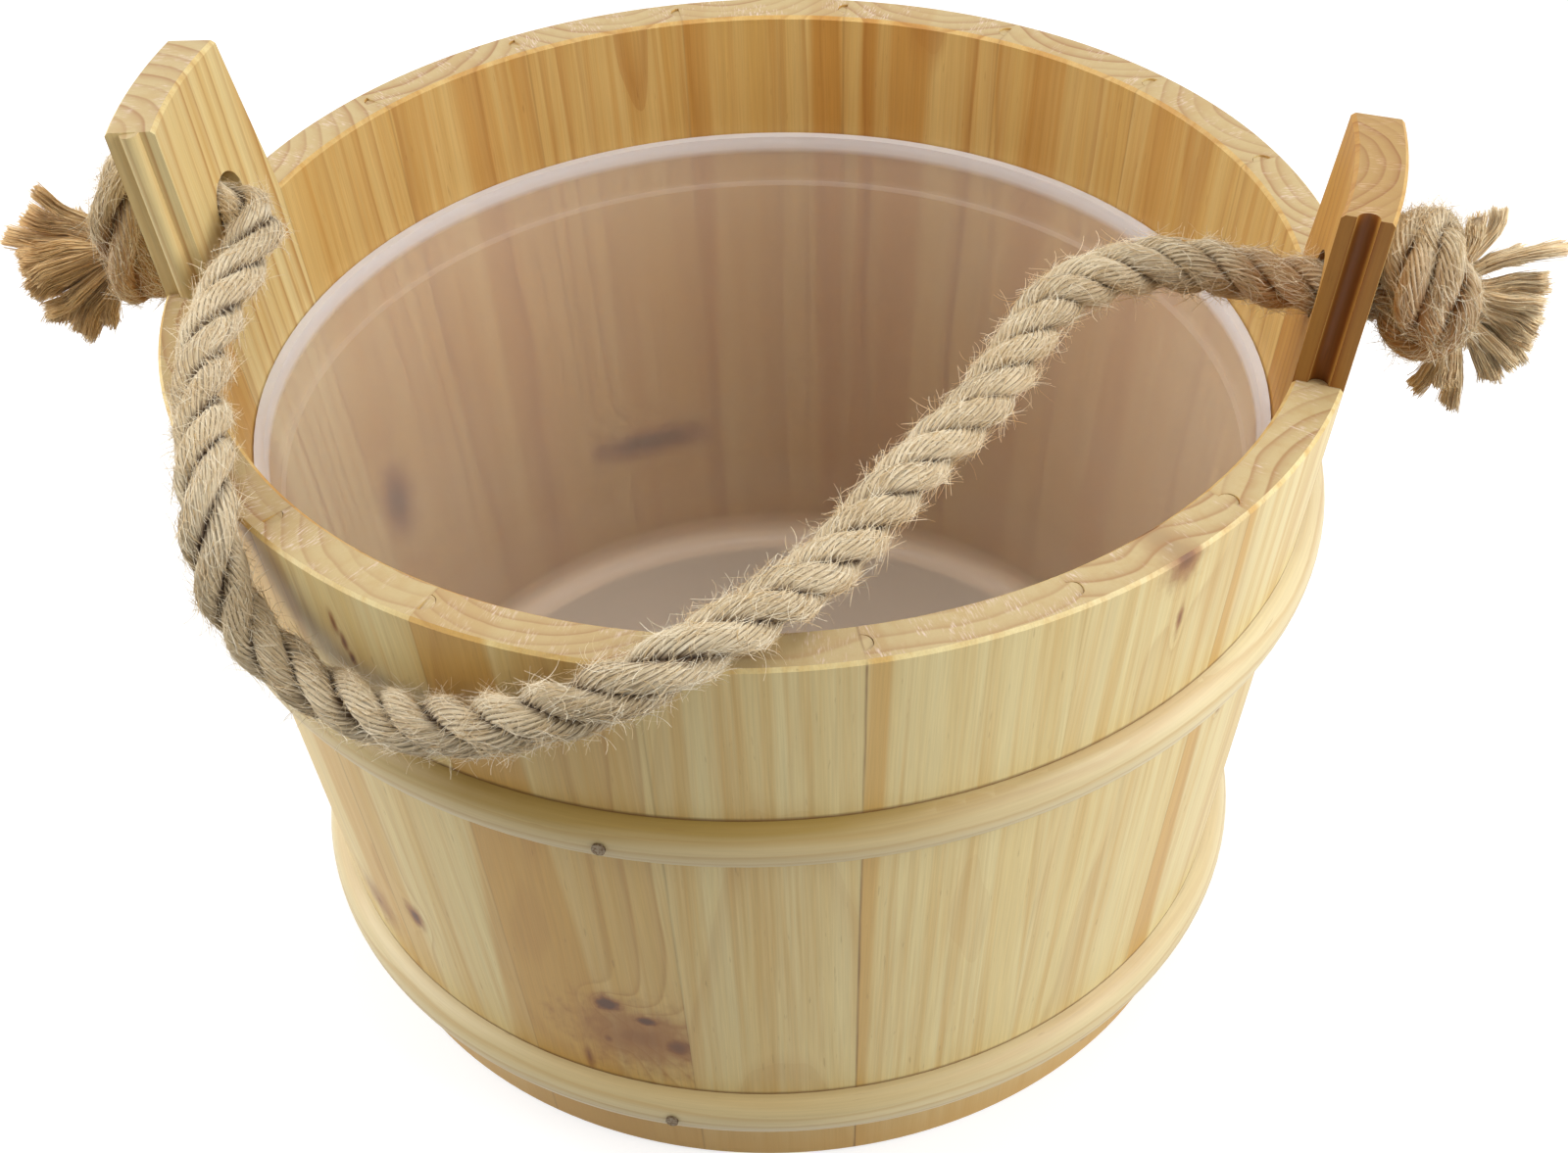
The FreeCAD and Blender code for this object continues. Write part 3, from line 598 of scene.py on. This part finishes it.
def make_rope(material):
    """The laid rope between the tails in three pieces: the span and a knot beyond each ear."""
    left = even(line_through("knot_left", LEFT_KNOT[::-1]), RING_STEP)
    span = even(line_through("rope", ROPE_ROUTE), RING_STEP)
    right = even(line_through("knot_right", RIGHT_KNOT), RING_STEP)
    whole = np.concatenate([left, span[1:], right[1:]])
    along_line = distances(whole)
    first, last = len(left) - 1, len(left) + len(span) - 2
    ranges = {KNOT_NAMES[0]: (0, first), SPAN_NAME: (first, last), KNOT_NAMES[1]: (last, len(whole) - 1)}
    places, lengths = np.array(STRAND_TURNS).T * MM
    pitch = np.interp(along_line - along_line[first], places, lengths)
    turns = np.r_[0, np.cumsum(np.diff(along_line) / pitch[1:])]
    strands = [strand(whole, along_line, turns, number) for number in range(STRAND_COUNT)]
    made, strand_lines = {}, {}
    for name, (start, finish) in ranges.items():
        part = slice(start, finish + 1)
        skins = [(*tube(rings[part]), uv[part].reshape(-1, 3)) for rings, uv, _ in strands]
        made[name] = mesh_object(name, skins, material)
        strand_lines[name] = [tuple(item[part] for item in lines) for _, _, lines in strands]
    return made, strand_lines, span


def bundle(root, bend, tip, thickness, draw):
    """One bundle of unlaid yarns: a ridged core that widens to a cut end, and fibres round it."""
    ends = np.array([root, bend, tip]) * MM
    share = np.linspace(0, 1, BUNDLE_RINGS)[:, None]
    middle = (1 - share) ** 2 * ends[0] + 2 * share * (1 - share) * ends[1] + share ** 2 * ends[2]
    wobble = [waver(share[:, 0], draw.uniform(0, 90), *BUNDLE_WAVER) for _ in range(3)]
    middle = middle + np.stack(wobble, axis=1) * share * MM
    _, side, across = frames(middle)
    spin = draw.uniform(0, math.pi)
    side, across = turned_about(spin, side, across), turned_about(spin, across, -side)
    ways = np.linspace(0, 2 * math.pi, BUNDLE_SIDES, endpoint=False)
    growth = (BUNDLE_START + BUNDLE_GROWTH * share[:, 0] ** 1.2) * thickness * MM
    flat = 1 - BUNDLE_FLATNESS * share[:, 0]
    ridges = np.abs(np.sin(BUNDLE_RIDGES / 2 * (ways[None, :] + 1.2 * share) + spin))
    core = growth[:, None] * (BUNDLE_CORE + BUNDLE_RIDGE * ridges)
    rings = middle[:, None, :] + core[..., None] * (
        np.cos(ways)[None, :, None] * side[:, None, :]
        + (flat[:, None] * np.sin(ways)[None, :])[..., None] * across[:, None, :])
    uv = np.stack([np.repeat(share[:, 0] * BUNDLE_TEXTURE[0], BUNDLE_SIDES),
                   np.tile(ways * BUNDLE_TEXTURE[1], BUNDLE_RINGS) + spin,
                   np.full(BUNDLE_SIDES * BUNDLE_RINGS, BUNDLE_CROWN)], axis=1)

    one_each = (BUNDLE_FIBRES, 1)
    steps = np.linspace(0, 1, FIBRE_POINTS)
    start = draw.uniform(*COVER_FIRST_RINGS, one_each)
    reaches_end = draw.uniform(size=one_each) < COVER_REACHING
    finish = np.where(reaches_end, BUNDLE_RINGS - 1.01, draw.uniform(*COVER_LAST_RINGS, one_each))
    place = start + (finish - start) * steps
    lower = place.astype(int)
    part = (place - lower)[..., None]
    centre = middle[lower] * (1 - part) + middle[lower + 1] * part
    swing = draw.uniform(0, 2 * math.pi, one_each) + draw.normal(0, COVER_SWING, one_each) * steps
    wide = growth[lower] * (draw.uniform(*COVER_OUT, one_each)
                            + draw.gamma(*COVER_SPREAD, one_each) * steps ** 2)
    points = centre + (wide * np.cos(swing))[..., None] * side[lower]
    points += (wide * flat[lower] * np.sin(swing))[..., None] * across[lower]
    points[:, -1] += unit(middle[-1] - middle[-2]) * draw.normal(*COVER_CUT_MM, one_each) * MM
    radii = draw.uniform(*COVER_RADII_MM, BUNDLE_FIBRES) * MM
    return [(*tube(rings), uv), hairs(points, radii, draw)]


def make_tail(name, root, bundles, swell, material, draw):
    """The rope's unlaid end: bundles of yarns that fan out of the knot."""
    parts = []
    for bend, tip, thickness in bundles:
        parts += bundle(root, bend, tip, thickness * swell, draw)
    return mesh_object(name, parts, material)


def jute(name, dark, middle, pale, stains=()):
    """Jute: fine fibres along the yarns, pale on the crests, with painted shade between the yarns and between
    the strands. stains are brown places: x, y, z, radius, in mm."""
    g = Graph(name)
    place = g.node("UVMap", {"uv_map": "along_across"}).outputs[0]
    across = g.separate(place)[1]
    crown = g.uv("crown")[0]
    coords = g.object_place()
    yarn_width = 2 * math.pi * STRAND_RADIUS / STRAND_YARNS
    crest = g.size(g.math("SINE", g.times(across, math.pi / yarn_width)))
    fine = g.grain(place, (1 / 420, 1 / 7000, 1), 4, 0.65, 0.3)
    tufts = g.grain(place, (1 / 130, 1 / 1200, 1))
    body = g.noise(coords, 45)
    colour = g.mix(g.ramp(fine, (0.34, 0.0), (0.64, 1.0)), middle, pale)
    colour = g.mix(g.ramp(tufts, (0.40, 0.0), (0.62, 0.7)), colour, pale)
    colour = g.mix(g.ramp(body, (0.35, 0.0), (0.70, 0.5)), colour, middle)
    # Painted shade in the grooves between yarns.
    colour = g.mix(g.ramp(crest, (0.0, 0.8), (0.55, 0.0)), colour, dark)
    # Painted shade on the strands' inner sides, where they press together.
    between_strands_shade = g.times_plus(crown, 0.5, g.times_plus(tufts, 0.3, 0.35))
    colour = g.mix(g.ramp(between_strands_shade, (0.36, 0.9), (0.68, 0.0)), colour, dark)
    for x, y, z, radius in stains:
        away = g.node("VectorMath", {"operation": "DISTANCE"}, i0=coords, i1=(x * MM, y * MM, z * MM))
        away = g.times_plus(tufts, 0.5, g.times(away.outputs["Value"], 500 / radius))
        colour = g.mix(g.ramp(away, (0.55, 0.7), (1.0, 0.0)), colour, STAIN_BROWN)
    bump = g.bump(g.plus(g.times(fine, 0.8), g.times(tufts, 0.6)), 0.9, 0.5 * MM)
    return g.principled(colour, 0.85, Normal=bump, Specular_IOR_Level=0.15, Sheen_Weight=0.2,
                        Sheen_Roughness=0.5)


def fibre(name, dark, pale):
    """Loose fibres, each of its own tone."""
    g = Graph(name)
    colour = g.mix(g.uv("along_across")[1], dark, pale)
    return g.principled(colour, 0.6, Specular_IOR_Level=0.3)


class StaveWood(Graph):
    """Softwood sawn into one stave that faces turn degrees from +X. Places in it are in mm: depth
    outwards from the middle of its thickness, across, and height along it."""

    def __init__(self, name, turn, seed):
        super().__init__(name)
        coords = self.node("TexCoord")
        self.place, self.normal = coords.outputs["Object"], coords.outputs["Normal"]
        self.seed = seed
        turn = math.radians(turn)
        upright = Matrix.Rotation(-LEAN, 3, "Y")
        spin = upright @ Matrix.Rotation(-turn, 3, "Z")
        shift = upright @ Vector((-WALL_MIDDLE_MM, 0, 0))
        self.local = self.node("Mapping", Vector=self.place, Location=tuple(shift),
                               Rotation=tuple(spin.to_euler()), Scale=(TO_MM, TO_MM, TO_MM)).outputs[0]
        self.depth, self.across, self.height = self.separate(self.local)
        seeding = tuple(seed * step for step in STAVE_SEED_STEP)
        self.seeded = self.node("VectorMath", {"operation": "ADD"}, i0=self.local, i1=seeding).outputs[0]
        self.drift = self.drifting(self.seeded, (26, 26, 120))
        self.broad = self.grain(self.seeded, (9, 7, 240))
        self.fibres = self.grain(self.seeded, (0.45, 0.4, 22))
        self.outward = (math.cos(turn), math.sin(turn), 0)
        self.sideways = (self.outward[1], -self.outward[0], 0)
        self.facing_out = self.dot(self.normal, self.outward)

    def rings(self, pith, tilt, ring, knots):
        """How much each place is late wood, and how dark the knots make it."""
        lean = Matrix.Rotation(math.radians(tilt[0]), 3, "X") @ Matrix.Rotation(math.radians(tilt[1]), 3, "Y")
        tree = self.node("Mapping", Vector=self.local, Rotation=tuple(lean.to_euler()),
                         Location=(-pith[1], -pith[0], 0)).outputs[0]
        tree_x, tree_y, _ = self.separate(tree)
        radius = self.times_plus(self.drift, 5.0, self.math("SQRT", self.squares(tree_x, tree_y)))
        rough = self.grain(self.seeded, (3.5, 3.5, 4.5)) if knots else None
        dark = 0.0
        for knot_across, knot_up, half_width, half_height, strength in knots:
            beside = self.minus(self.times_plus(self.drift, 3.0, self.across), knot_across)
            above = self.minus(self.height, knot_up)
            away = self.squares(self.over(beside, half_width), self.over(above, half_height))
            bulge = self.math("EXPONENT", self.times(away, -0.22))
            radius = self.times_plus(bulge, 1.5 * ring * strength, radius)
            away = self.times(away, self.times_plus(rough, 2.4, -0.2))
            spot = self.times(self.math("EXPONENT", self.times(away, -0.9)), strength)
            dark = self.math("MAXIMUM", dark, spot)
        count = self.over(radius, ring)
        late = self.ramp(self.math("FRACT", count), *STAVE_RING)
        own_seed = self.plus(self.math("FLOOR", count), self.seed * 3.1)
        own = self.node("TexWhiteNoise", {"noise_dimensions": "1D"}, W=own_seed).outputs[0]
        return self.times(late, self.times_plus(own, 0.75, 0.25)), dark

    def tone(self, warmth, bands, late, contrast):
        """Broad streaks, warm bands, rings, fibres, short dark pores, and painted shade towards the foot."""
        warm = self.times_plus(self.ramp(self.broad, (0.35, 0), (0.66, 1)), 0.55, warmth - 0.25, clamp=True)
        colour = self.mix(warm, PALE_WOOD, WARM_WOOD)
        for middle, half, slant, strength in bands:
            beside = self.minus(self.times_plus(self.height, slant, self.across), middle)
            within = self.minus(half, self.size(self.times_plus(self.drift, 5.0, beside)))
            within = self.times_plus(self.math("SMOOTH_MIN", within, 1.0, 0.3), 0.4, 0.5, clamp=True)
            within = self.ramp(within, (0.0, 0.0), (1.0, 1.0), kind="EASE")
            colour = self.mix(self.times(within, strength), colour, HEART_WOOD)
        streak = self.grain(self.seeded, (4.5, 3.2, 170))
        colour = self.mix(self.ramp(streak, (0.46, 0.0), (0.72, 0.62)), colour, HEART_WOOD)
        colour = self.mix(self.times(late, contrast), colour, LATE_WOOD)
        pores = self.grain(self.seeded, (0.9, 0.8, 7), 1, 0.5)
        colour = self.mix(self.ramp(pores, (0.72, 0.0), (0.80, 0.28)), colour, PORE_WOOD)
        colour = self.fibred(colour, self.fibres, 0.84)
        # Painted shade: the wood darkens towards its foot, where little light reaches by the floor.
        foot_shade = self.ramp(self.height, (4, 0.8), (16, 0.45), (19, 0.0), span=20.0)
        return self.mix(foot_shade, colour, HEART_WOOD)

    def knotted(self, colour, dark):
        """Brown knots with dark hearts."""
        colour = self.mix(self.ramp(dark, (0.04, 0.0), (0.40, 0.66), (0.7, 0.95)), colour, KNOT_WOOD)
        return self.mix(self.ramp(dark, (0.55, 0.0), (0.95, 0.9)), colour, KNOT_HEART)

    def inside_painted_shade(self, colour, strength):
        """Painted shade inside the pail: inner faces are tinted darker and warmer."""
        inside = self.times(self.ramp(self.times(self.facing_out, -1.0), *FACING), strength)
        return self.tinted(inside, colour, INSIDE_PAINTED_SHADE)

    def bare_edge(self, colour, strength):
        """The edge that no neighbour covers, and painted shade in its cove."""
        facing = self.dot(self.normal, self.sideways)
        bare = self.ramp(facing, (0.3, 0.0), (0.7, strength))
        colour = self.tinted(bare, colour, BARE_EDGE)
        # Painted shade, deepest in the middle of the cove.
        in_cove = self.ramp(self.size(self.plus(self.depth, 2.2)), (2.25, 0.9), (3.1, 0.0), span=5.0)
        return self.tinted(self.times(bare, in_cove), colour, COVE_PAINTED_SHADE)

    def sawn_end(self, colour, late):
        """Upward faces show the rings more, with pale saw marks."""
        end = self.mix(self.times(late, 0.75), self.mix(0.75, colour, END_WOOD), END_LATE)
        marks = self.ramp(self.grain(self.seeded, (2.5, 0.35, 1)), (0.50, 0.0), (0.70, 0.75))
        marks = self.times(marks, self.ramp(self.broad, (0.48, 0.0), (0.62, 1.0)))
        end = self.mix(marks, end, SAW_FUZZ)
        upward = self.separate(self.normal)[2]
        return self.mix(self.ramp(upward, (0.80, 0.0), (0.93, 1.0)), colour, end)

    def hoop_crease_shade(self, colour):
        """Painted shade in the crease over each hoop, on the outside."""
        level = self.times(self.separate(self.place)[2], TO_MM)
        above = [self.size(self.minus(level, middle + HOOP_HALF_MM)) for middle in HOOP_MIDDLES_MM]
        # Painted shade: the wall is darkened just over each hoop's upper edge.
        crease_shade = self.ramp(self.math("MINIMUM", *above), (0.3, 0.8), (1.2, 0.0), span=2.0)
        return self.mix(self.times(crease_shade, self.ramp(self.facing_out, *FACING)), colour, DARK_JOINT_AND_CREASE_SHADE)

    def joints(self, colour, edges, seams):
        """The joints to the neighbours below the rim, broken in places."""
        breaks = self.ramp(self.grain(self.seeded, (3, 3, 26)), (0.30, 0.25), (0.60, 1.0))
        below_rim = self.ramp(self.height, (180.5, 1.0), (182.0, 0.0), span=250.0)
        for direction, strength in zip(edges, seams):
            away = math.radians(direction)
            across_joint = (TO_MM * math.sin(away), -TO_MM * math.cos(away), 0)
            beside = self.size(self.dot(self.place, across_joint))
            seam = self.times(self.ramp(beside, (0.10, 1.0), (0.42, 0.0)), self.times(below_rim, strength))
            colour = self.mix(self.times(seam, breaks), colour, DARK_JOINT_AND_CREASE_SHADE)
        return colour


def stave_wood(name, turn, seed, edges, pith, tilt=(1.0, 0.6), ring=3.6, warmth=0.3, contrast=0.6,
               bands=(), knots=(), seams=(0.3, 0.3), inner=0.85, edge=0.0, tint=None):
    """Softwood sawn into one stave. Growth rings, ring mm wide, lie round a pith, given in mm across
    and out from the stave's middle and leaning by tilt degrees, so each cut face shows its own figure.
    bands are warm streaks: middle, half width, slant, strength. knots are: across, up, half width, half
    height, strength. edges are the joints' directions and seams how dark they are. inner is how much painted
    shade the inside takes, and edge how far a bare edge is toned and its cove shaded. tint is for a stave
    from darker wood."""
    g = StaveWood(name, turn, seed)
    late, dark = g.rings(pith, tilt, ring, knots)
    colour = g.tone(warmth, bands, late, contrast)
    if knots:
        colour = g.knotted(colour, dark)
    colour = g.inside_painted_shade(colour, inner)
    if edge:
        colour = g.bare_edge(colour, edge)
    colour = g.sawn_end(colour, late)
    if tint:
        colour = g.tinted(1.0, colour, tint)
    colour = g.joints(g.hoop_crease_shade(colour), edges, seams)
    bump = g.bump(g.plus(g.times(g.fibres, 0.5), g.times(late, -0.35)), 0.35, 0.12 * MM)
    return g.principled(colour, 0.46, Normal=bump, Specular_IOR_Level=0.38)


def hoop_wood(name, seed, height_mm, olive):
    """Split wood bent round the pail: its grain runs along the hoop. Olive inner bark is left along
    its upper edge, most at the front."""
    g = Graph(name)
    x, y, z = g.separate(g.object_place())
    way = g.times(g.math("ARCTAN2", x, g.times(y, -1.0)), HOOP_RADIUS_MM)
    out = g.times(g.math("SQRT", g.squares(x, y)), TO_MM)
    level = g.minus(g.times(z, TO_MM), height_mm)
    local = g.node("CombineXYZ", i0=g.plus(way, seed * HOOP_SEED_STEP), i1=level, i2=out).outputs[0]
    drift = g.drifting(local, (120, 14, 14))
    rings = g.over(g.times_plus(drift, 7.0, g.times_plus(out, 0.55, level)), 2.3)
    late = g.ramp(g.math("FRACT", rings), *HOOP_RING)
    broad = g.grain(local, (190, 5, 5), 2, 0.5)
    fibres = g.grain(local, (26, 0.4, 0.4))
    flecks = g.grain(local, (9, 0.7, 0.7), 1, 0.5)
    colour = g.mix(g.ramp(broad, (0.35, 0.0), (0.68, 0.55)), HOOP_PALE, HOOP_WARM)
    colour = g.mix(g.times(late, 0.34), colour, LATE_WOOD)
    upper = g.plus(g.times_plus(drift, 0.8, g.times(level, 0.1), clamp=True), 0.2)
    upper = g.ramp(upper, (0.12, 0.25), (0.32, 0.35), (0.62, 1.0))
    front = g.ramp(g.size(way), (37.5, olive), (120.0, 0.0), span=150.0)
    colour = g.mix(g.times(upper, front), colour, OLIVE_BARK)
    colour = g.mix(g.ramp(flecks, (0.72, 0.0), (0.8, 0.25)), colour, PORE_WOOD)
    colour = g.fibred(colour, fibres, 0.88)
    return g.principled(colour, 0.42, Normal=g.bump(fibres, 0.3, 0.1 * MM), Specular_IOR_Level=0.42)


def board_wood(name, seed):
    """A flat bottom board, its grain along X."""
    g = Graph(name)
    seeding = tuple(seed * step for step in BOARD_SEED_STEP)
    local = g.node("Mapping", Vector=g.object_place(), Location=seeding,
                   Scale=(TO_MM, TO_MM, TO_MM)).outputs[0]
    drift = g.drifting(local, (120, 20, 20))
    rings = g.over(g.times_plus(drift, 14.0, g.separate(local)[1]), 6.0)
    late = g.ramp(g.math("FRACT", rings), *BOARD_RING)
    broad = g.grain(local, (200, 12, 12), 2, 0.5)
    colour = g.mix(g.ramp(broad, (0.35, 0.0), (0.65, 0.8)), PALE_WOOD, WARM_WOOD)
    colour = g.mix(g.times(late, 0.5), colour, LATE_WOOD)
    return g.principled(g.fibred(colour, g.grain(local, (22, 0.5, 0.5)), 0.85), 0.5)


def liner_plastic():
    """Thin milky plastic: light passes, partly blurred, and the wood behind shows through. It is denser where
    it is thicker, in the lip and at the floor's corner. Its floor's warmer tint is painted light, and its
    lip's whiter tint is partly painted light."""
    g = Graph("liner_plastic")
    coords = g.object_place()
    colour = g.mix(g.ramp(g.noise(coords, 18), (0.3, 0.0), (0.7, 1.0)), LINER_WARM, LINER_PALE)
    height = g.times(g.separate(coords)[2], TO_MM)
    # Painted light: the floor is tinted warmer, for the glow it takes from the wood below.
    floor = g.ramp(height, (24.0, 1.0), (40.0, 0.0), span=LINER_SPAN_MM)
    colour = g.mix(floor, colour, LINER_FLOOR_PAINTED_LIGHT)
    # The lip is whiter: its denser plastic, and partly painted light where it lies in shade.
    lip = g.ramp(height, (142.4, 0.0), (144.0, 1.0), span=LINER_SPAN_MM)
    colour = g.mix(lip, colour, LINER_LIP_AND_PAINTED_LIGHT)
    cover = g.ramp(height, *LINER_COVER, span=LINER_SPAN_MM)
    return g.principled(colour, 0.30, Alpha=cover, IOR=1.3, Transmission_Weight=0.42)


def brad_steel():
    """Grey wire with patches of rust."""
    g = Graph("brad_steel")
    rust = g.noise(g.object_place(), 2600, 3, 0.6)
    colour = g.mix(g.ramp(rust, (0.42, 0.0), (0.62, 1.0)), STEEL, RUST)
    return g.principled(colour, 0.5, Normal=g.bump(rust, 0.4, 0.08 * MM), Metallic=0.8)


def dress(node_name, material):
    """Gives a CAD node its material."""
    slots = nodes[node_name].data.materials
    slots.clear()
    slots.append(material)


def seen_directly(graph):
    """1 for rays from the camera, mirrors and clear plastic, 0 for light on the object."""
    path = graph.node("LightPath")
    seen = graph.math("MAXIMUM", path.outputs["Is Camera Ray"], path.outputs["Is Glossy Ray"])
    return graph.math("MAXIMUM", seen, path.outputs["Is Transmission Ray"])


def make_floor():
    """A plain pale floor that takes the object's shadow and looks nearly white."""
    bpy.ops.mesh.primitive_plane_add(size=FLOOR_SIZE, location=(0, 0, FLOOR_LEVEL))
    floor = bpy.context.object
    floor.name = "floor"
    g = Graph("floor")
    diffuse = g.node("BsdfDiffuse", Color=FLOOR_GREY).outputs[0]
    glow = g.node("Emission", Color=WHITE, Strength=FLOOR_GLOW).outputs[0]
    both = g.node("AddShader", i0=diffuse, i1=glow).outputs[0]
    pick = g.node("MixShader", i0=seen_directly(g), i1=diffuse, i2=both)
    floor.data.materials.append(g.surface(pick.outputs[0]))
    return floor


def light_studio():
    """A white background, plain light from the room and a soft lamp on each side and above."""
    world = bpy.data.worlds.new("studio")
    bpy.context.scene.world = world
    g = Graph(world=world)
    room = g.node("Background", Color=ROOM_COLOUR, Strength=ROOM_STRENGTH).outputs[0]
    background = g.node("Background", Color=WHITE, Strength=1.0).outputs[0]
    pick = g.node("MixShader", i0=seen_directly(g), i1=room, i2=background)
    g.surface(pick.outputs[0])
    for name, place, width, power in LAMPS:
        lamp = bpy.data.objects.new(name, bpy.data.lights.new(name, "AREA"))
        lamp.data.size = width
        lamp.data.energy = power
        bpy.context.scene.collection.objects.link(lamp)
        lamp.location = place
        lamp.rotation_euler = (Vector(place) - LIT_MIDDLE).to_track_quat("Z", "Y").to_euler()


# Figure of each stave.
STAVES = {
    "ear_stave_left": dict(
        pith=(30, 14), tilt=(0.2, 0.5), ring=4.6, warmth=0.15, contrast=0.9, seams=(0.3, 0.5), inner=0.15),
    "stave_front_1": dict(pith=(-10, -40), warmth=0.55, contrast=0.5, bands=((-6, 9, 0.0, 0.4),)),
    "stave_front_2": dict(
        pith=(14, -38), tilt=(0.6, 1.4), warmth=0.50, contrast=0.45, bands=((20, 9, 0.03, 0.6),),
        knots=((6.8, 45.4, 7.0, 7.5, 0.5), (6.8, 45.4, 2.0, 2.5, 0.7)), seams=(0.3, 0.5)),
    "stave_front_3": dict(
        pith=(22, -30), tilt=(-3.2, 0.9), warmth=0.45, contrast=0.40,
        bands=((28, 18, -0.10, 0.6), (-22, 12, 0.02, 0.45)),
        knots=((-11.7, 59.2, 2.6, 3.4, 1.0), (-0.9, 168.8, 1.0, 3.2, 0.8), (0.6, 163.8, 0.8, 2.6, 0.8),
               (1.6, 159.2, 0.9, 2.0, 0.9)),
        seams=(0.4, 0.25)),
    "stave_front_4": dict(
        pith=(-12, -26), tilt=(2.6, 1.0), ring=3.0, warmth=0.60, contrast=0.60,
        bands=((-8, 12, 0.06, 0.9), (9, 11, 0.0, 0.35)),
        knots=((9.0, 49.0, 15.0, 11.0, 0.62), (2.2, 60.7, 3.0, 2.8, 1.2), (11.0, 56.5, 3.4, 2.2, 1.1),
               (17.6, 47.0, 4.6, 5.4, 0.85), (0.6, 45.6, 1.8, 2.6, 0.7), (9.0, 47.0, 4.0, 2.0, 0.6),
               (-5.8, 35.0, 1.0, 5.0, 0.7)),
        seams=(0.25, 0.35)),
    "stave_front_5": dict(
        pith=(2, -17), tilt=(0.3, 4.0), ring=6.5, warmth=0.30, contrast=0.75, seams=(0.35, 0.75)),
    "stave_front_6": dict(
        pith=(-2, -60), tilt=(0.8, 0.5), ring=4.4, warmth=0.20, contrast=0.28,
        bands=((-18.5, 2.6, 0.01, 0.7),), seams=(0.75, 0.1)),
    "stave_front_7": dict(
        pith=(8, -44), tilt=(0.5, 0.9), ring=4.4, warmth=0.18, contrast=0.32,
        knots=((8.6, 8.5, 1.2, 1.5, 0.9), (4.9, 163.0, 0.8, 4.0, 0.7), (2.5, 182.0, 4.4, 6.5, 0.8)),
        seams=(0.1, 0.2)),
    "stave_front_8": dict(
        pith=(-8, 40), tilt=(0.4, 0.3), ring=4.2, warmth=0.22, contrast=0.32,
        bands=((-13.0, 4.2, 0.065, 0.85),), knots=((-8.9, 113.6, 1.2, 2.2, 0.9),), seams=(0.3, 0.4)),
    "ear_stave_right": dict(
        pith=(-6, -16), tilt=(0.4, 0.4), ring=3.0, warmth=0.7, contrast=0.8, seams=(0.5, 0.3), edge=1.0,
        tint=EAR_TINT),
    "stave_back_1": dict(pith=(8, 26), warmth=0.35),
    "stave_back_2": dict(pith=(-9, 30), ring=4.2, warmth=0.5, bands=((8, 6, 0.0, 0.5),)),
    "stave_back_3": dict(pith=(4, 34), ring=3.8, warmth=0.6, bands=((6, 4, 0.0, 0.6),)),
    "stave_back_4": dict(
        pith=(-4, 28), ring=4.0, warmth=0.45, contrast=0.8,
        bands=((3.5, 5, 0.0, 0.8), (13.6, 2.0, 0.0, 0.9))),
    "stave_back_5": dict(
        pith=(9, 30), ring=3.4, warmth=0.6, contrast=0.8, bands=((-17, 4, 0.0, 0.9), (19, 3, 0.0, 0.7))),
    "stave_back_6": dict(
        pith=(-12, 24), ring=4.0, warmth=0.5,
        knots=((0.0, 55.5, 17.0, 3.6, 0.95), (4.0, 56.0, 6.0, 3.0, 1.0))),
    "stave_back_7": dict(pith=(6, 32), ring=4.4, warmth=0.45, bands=((-4, 5, 0.0, 0.5),)),
    "stave_back_8": dict(pith=(16, 26), ring=3.8, warmth=0.35, knots=((12.0, 80.0, 5.4, 9.0, 1.0),)),
}


def stave_arcs():
    """Each stave's name and how many degrees it takes, counter-clockwise from the left ear."""
    front = [("stave_front_%d" % (i + 1), arc) for i, arc in enumerate(FRONT_ARCS)]
    back_arc = (360 - 2 * EAR_ARC - sum(FRONT_ARCS)) / BACK_COUNT
    back = [("stave_back_%d" % (i + 1), back_arc) for i in range(BACK_COUNT)]
    return [("ear_stave_left", EAR_ARC), *front, ("ear_stave_right", EAR_ARC), *back]


set_camera()
draw = np.random.RandomState(DRAW_SEED)
laid, strand_lines, span_line = make_rope(jute("rope_jute", *ROPE_JUTE, STAINS))
loose_jute = fibre("loose_jute", *LOOSE_JUTE)
fuzzes = [mesh_object(name + "_fuzz", [fuzz(strand_lines[name], count, draw)], loose_jute, smooth=False)
          for name, count in zip((SPAN_NAME, *KNOT_NAMES), FUZZ_COUNTS)]
brown_jute = jute("brown_jute", *LEFT_TAIL_JUTE)
pale_jute = jute("pale_jute", *RIGHT_TAIL_JUTE)
tails = [make_tail(TAIL_NAMES[0], LEFT_ROOT, LEFT_BUNDLES, LEFT_SWELL, brown_jute, draw),
         make_tail(TAIL_NAMES[1], RIGHT_ROOT, RIGHT_BUNDLES, RIGHT_SWELL, pale_jute, draw)]
rope = laid[SPAN_NAME]
knot_left, knot_right = (laid[name] for name in KNOT_NAMES)
for piece in (rope, knot_left, knot_right, *fuzzes, *tails):
    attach(piece, "rope_handle")
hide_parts("rope_span")
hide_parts("rope_knot_left")
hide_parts("rope_knot_right")
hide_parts("rope_tail_left")
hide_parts("rope_tail_right")

joint = FIRST_JOINT
for seed, (name, arc) in enumerate(stave_arcs(), start=1):
    dress(name, stave_wood(name + "_wood", joint + arc / 2, seed, (joint, joint + arc), **STAVES[name]))
    joint += arc
for seed, name in enumerate(("hoop_upper", "hoop_lower"), start=1):
    dress(name, hoop_wood(name + "_wood", seed, HOOP_MIDDLES_MM[seed - 1], HOOP_OLIVE[seed - 1]))
for number in range(1, BOARD_COUNT + 1):
    dress("bottom_board_%d" % number, board_wood("bottom_board_%d_wood" % number, number))
dress("hoop_brads", brad_steel())
dress("liner", liner_plastic())

floor = make_floor()
light_studio()
scene = bpy.context.scene
scene.view_settings.view_transform = "Standard"
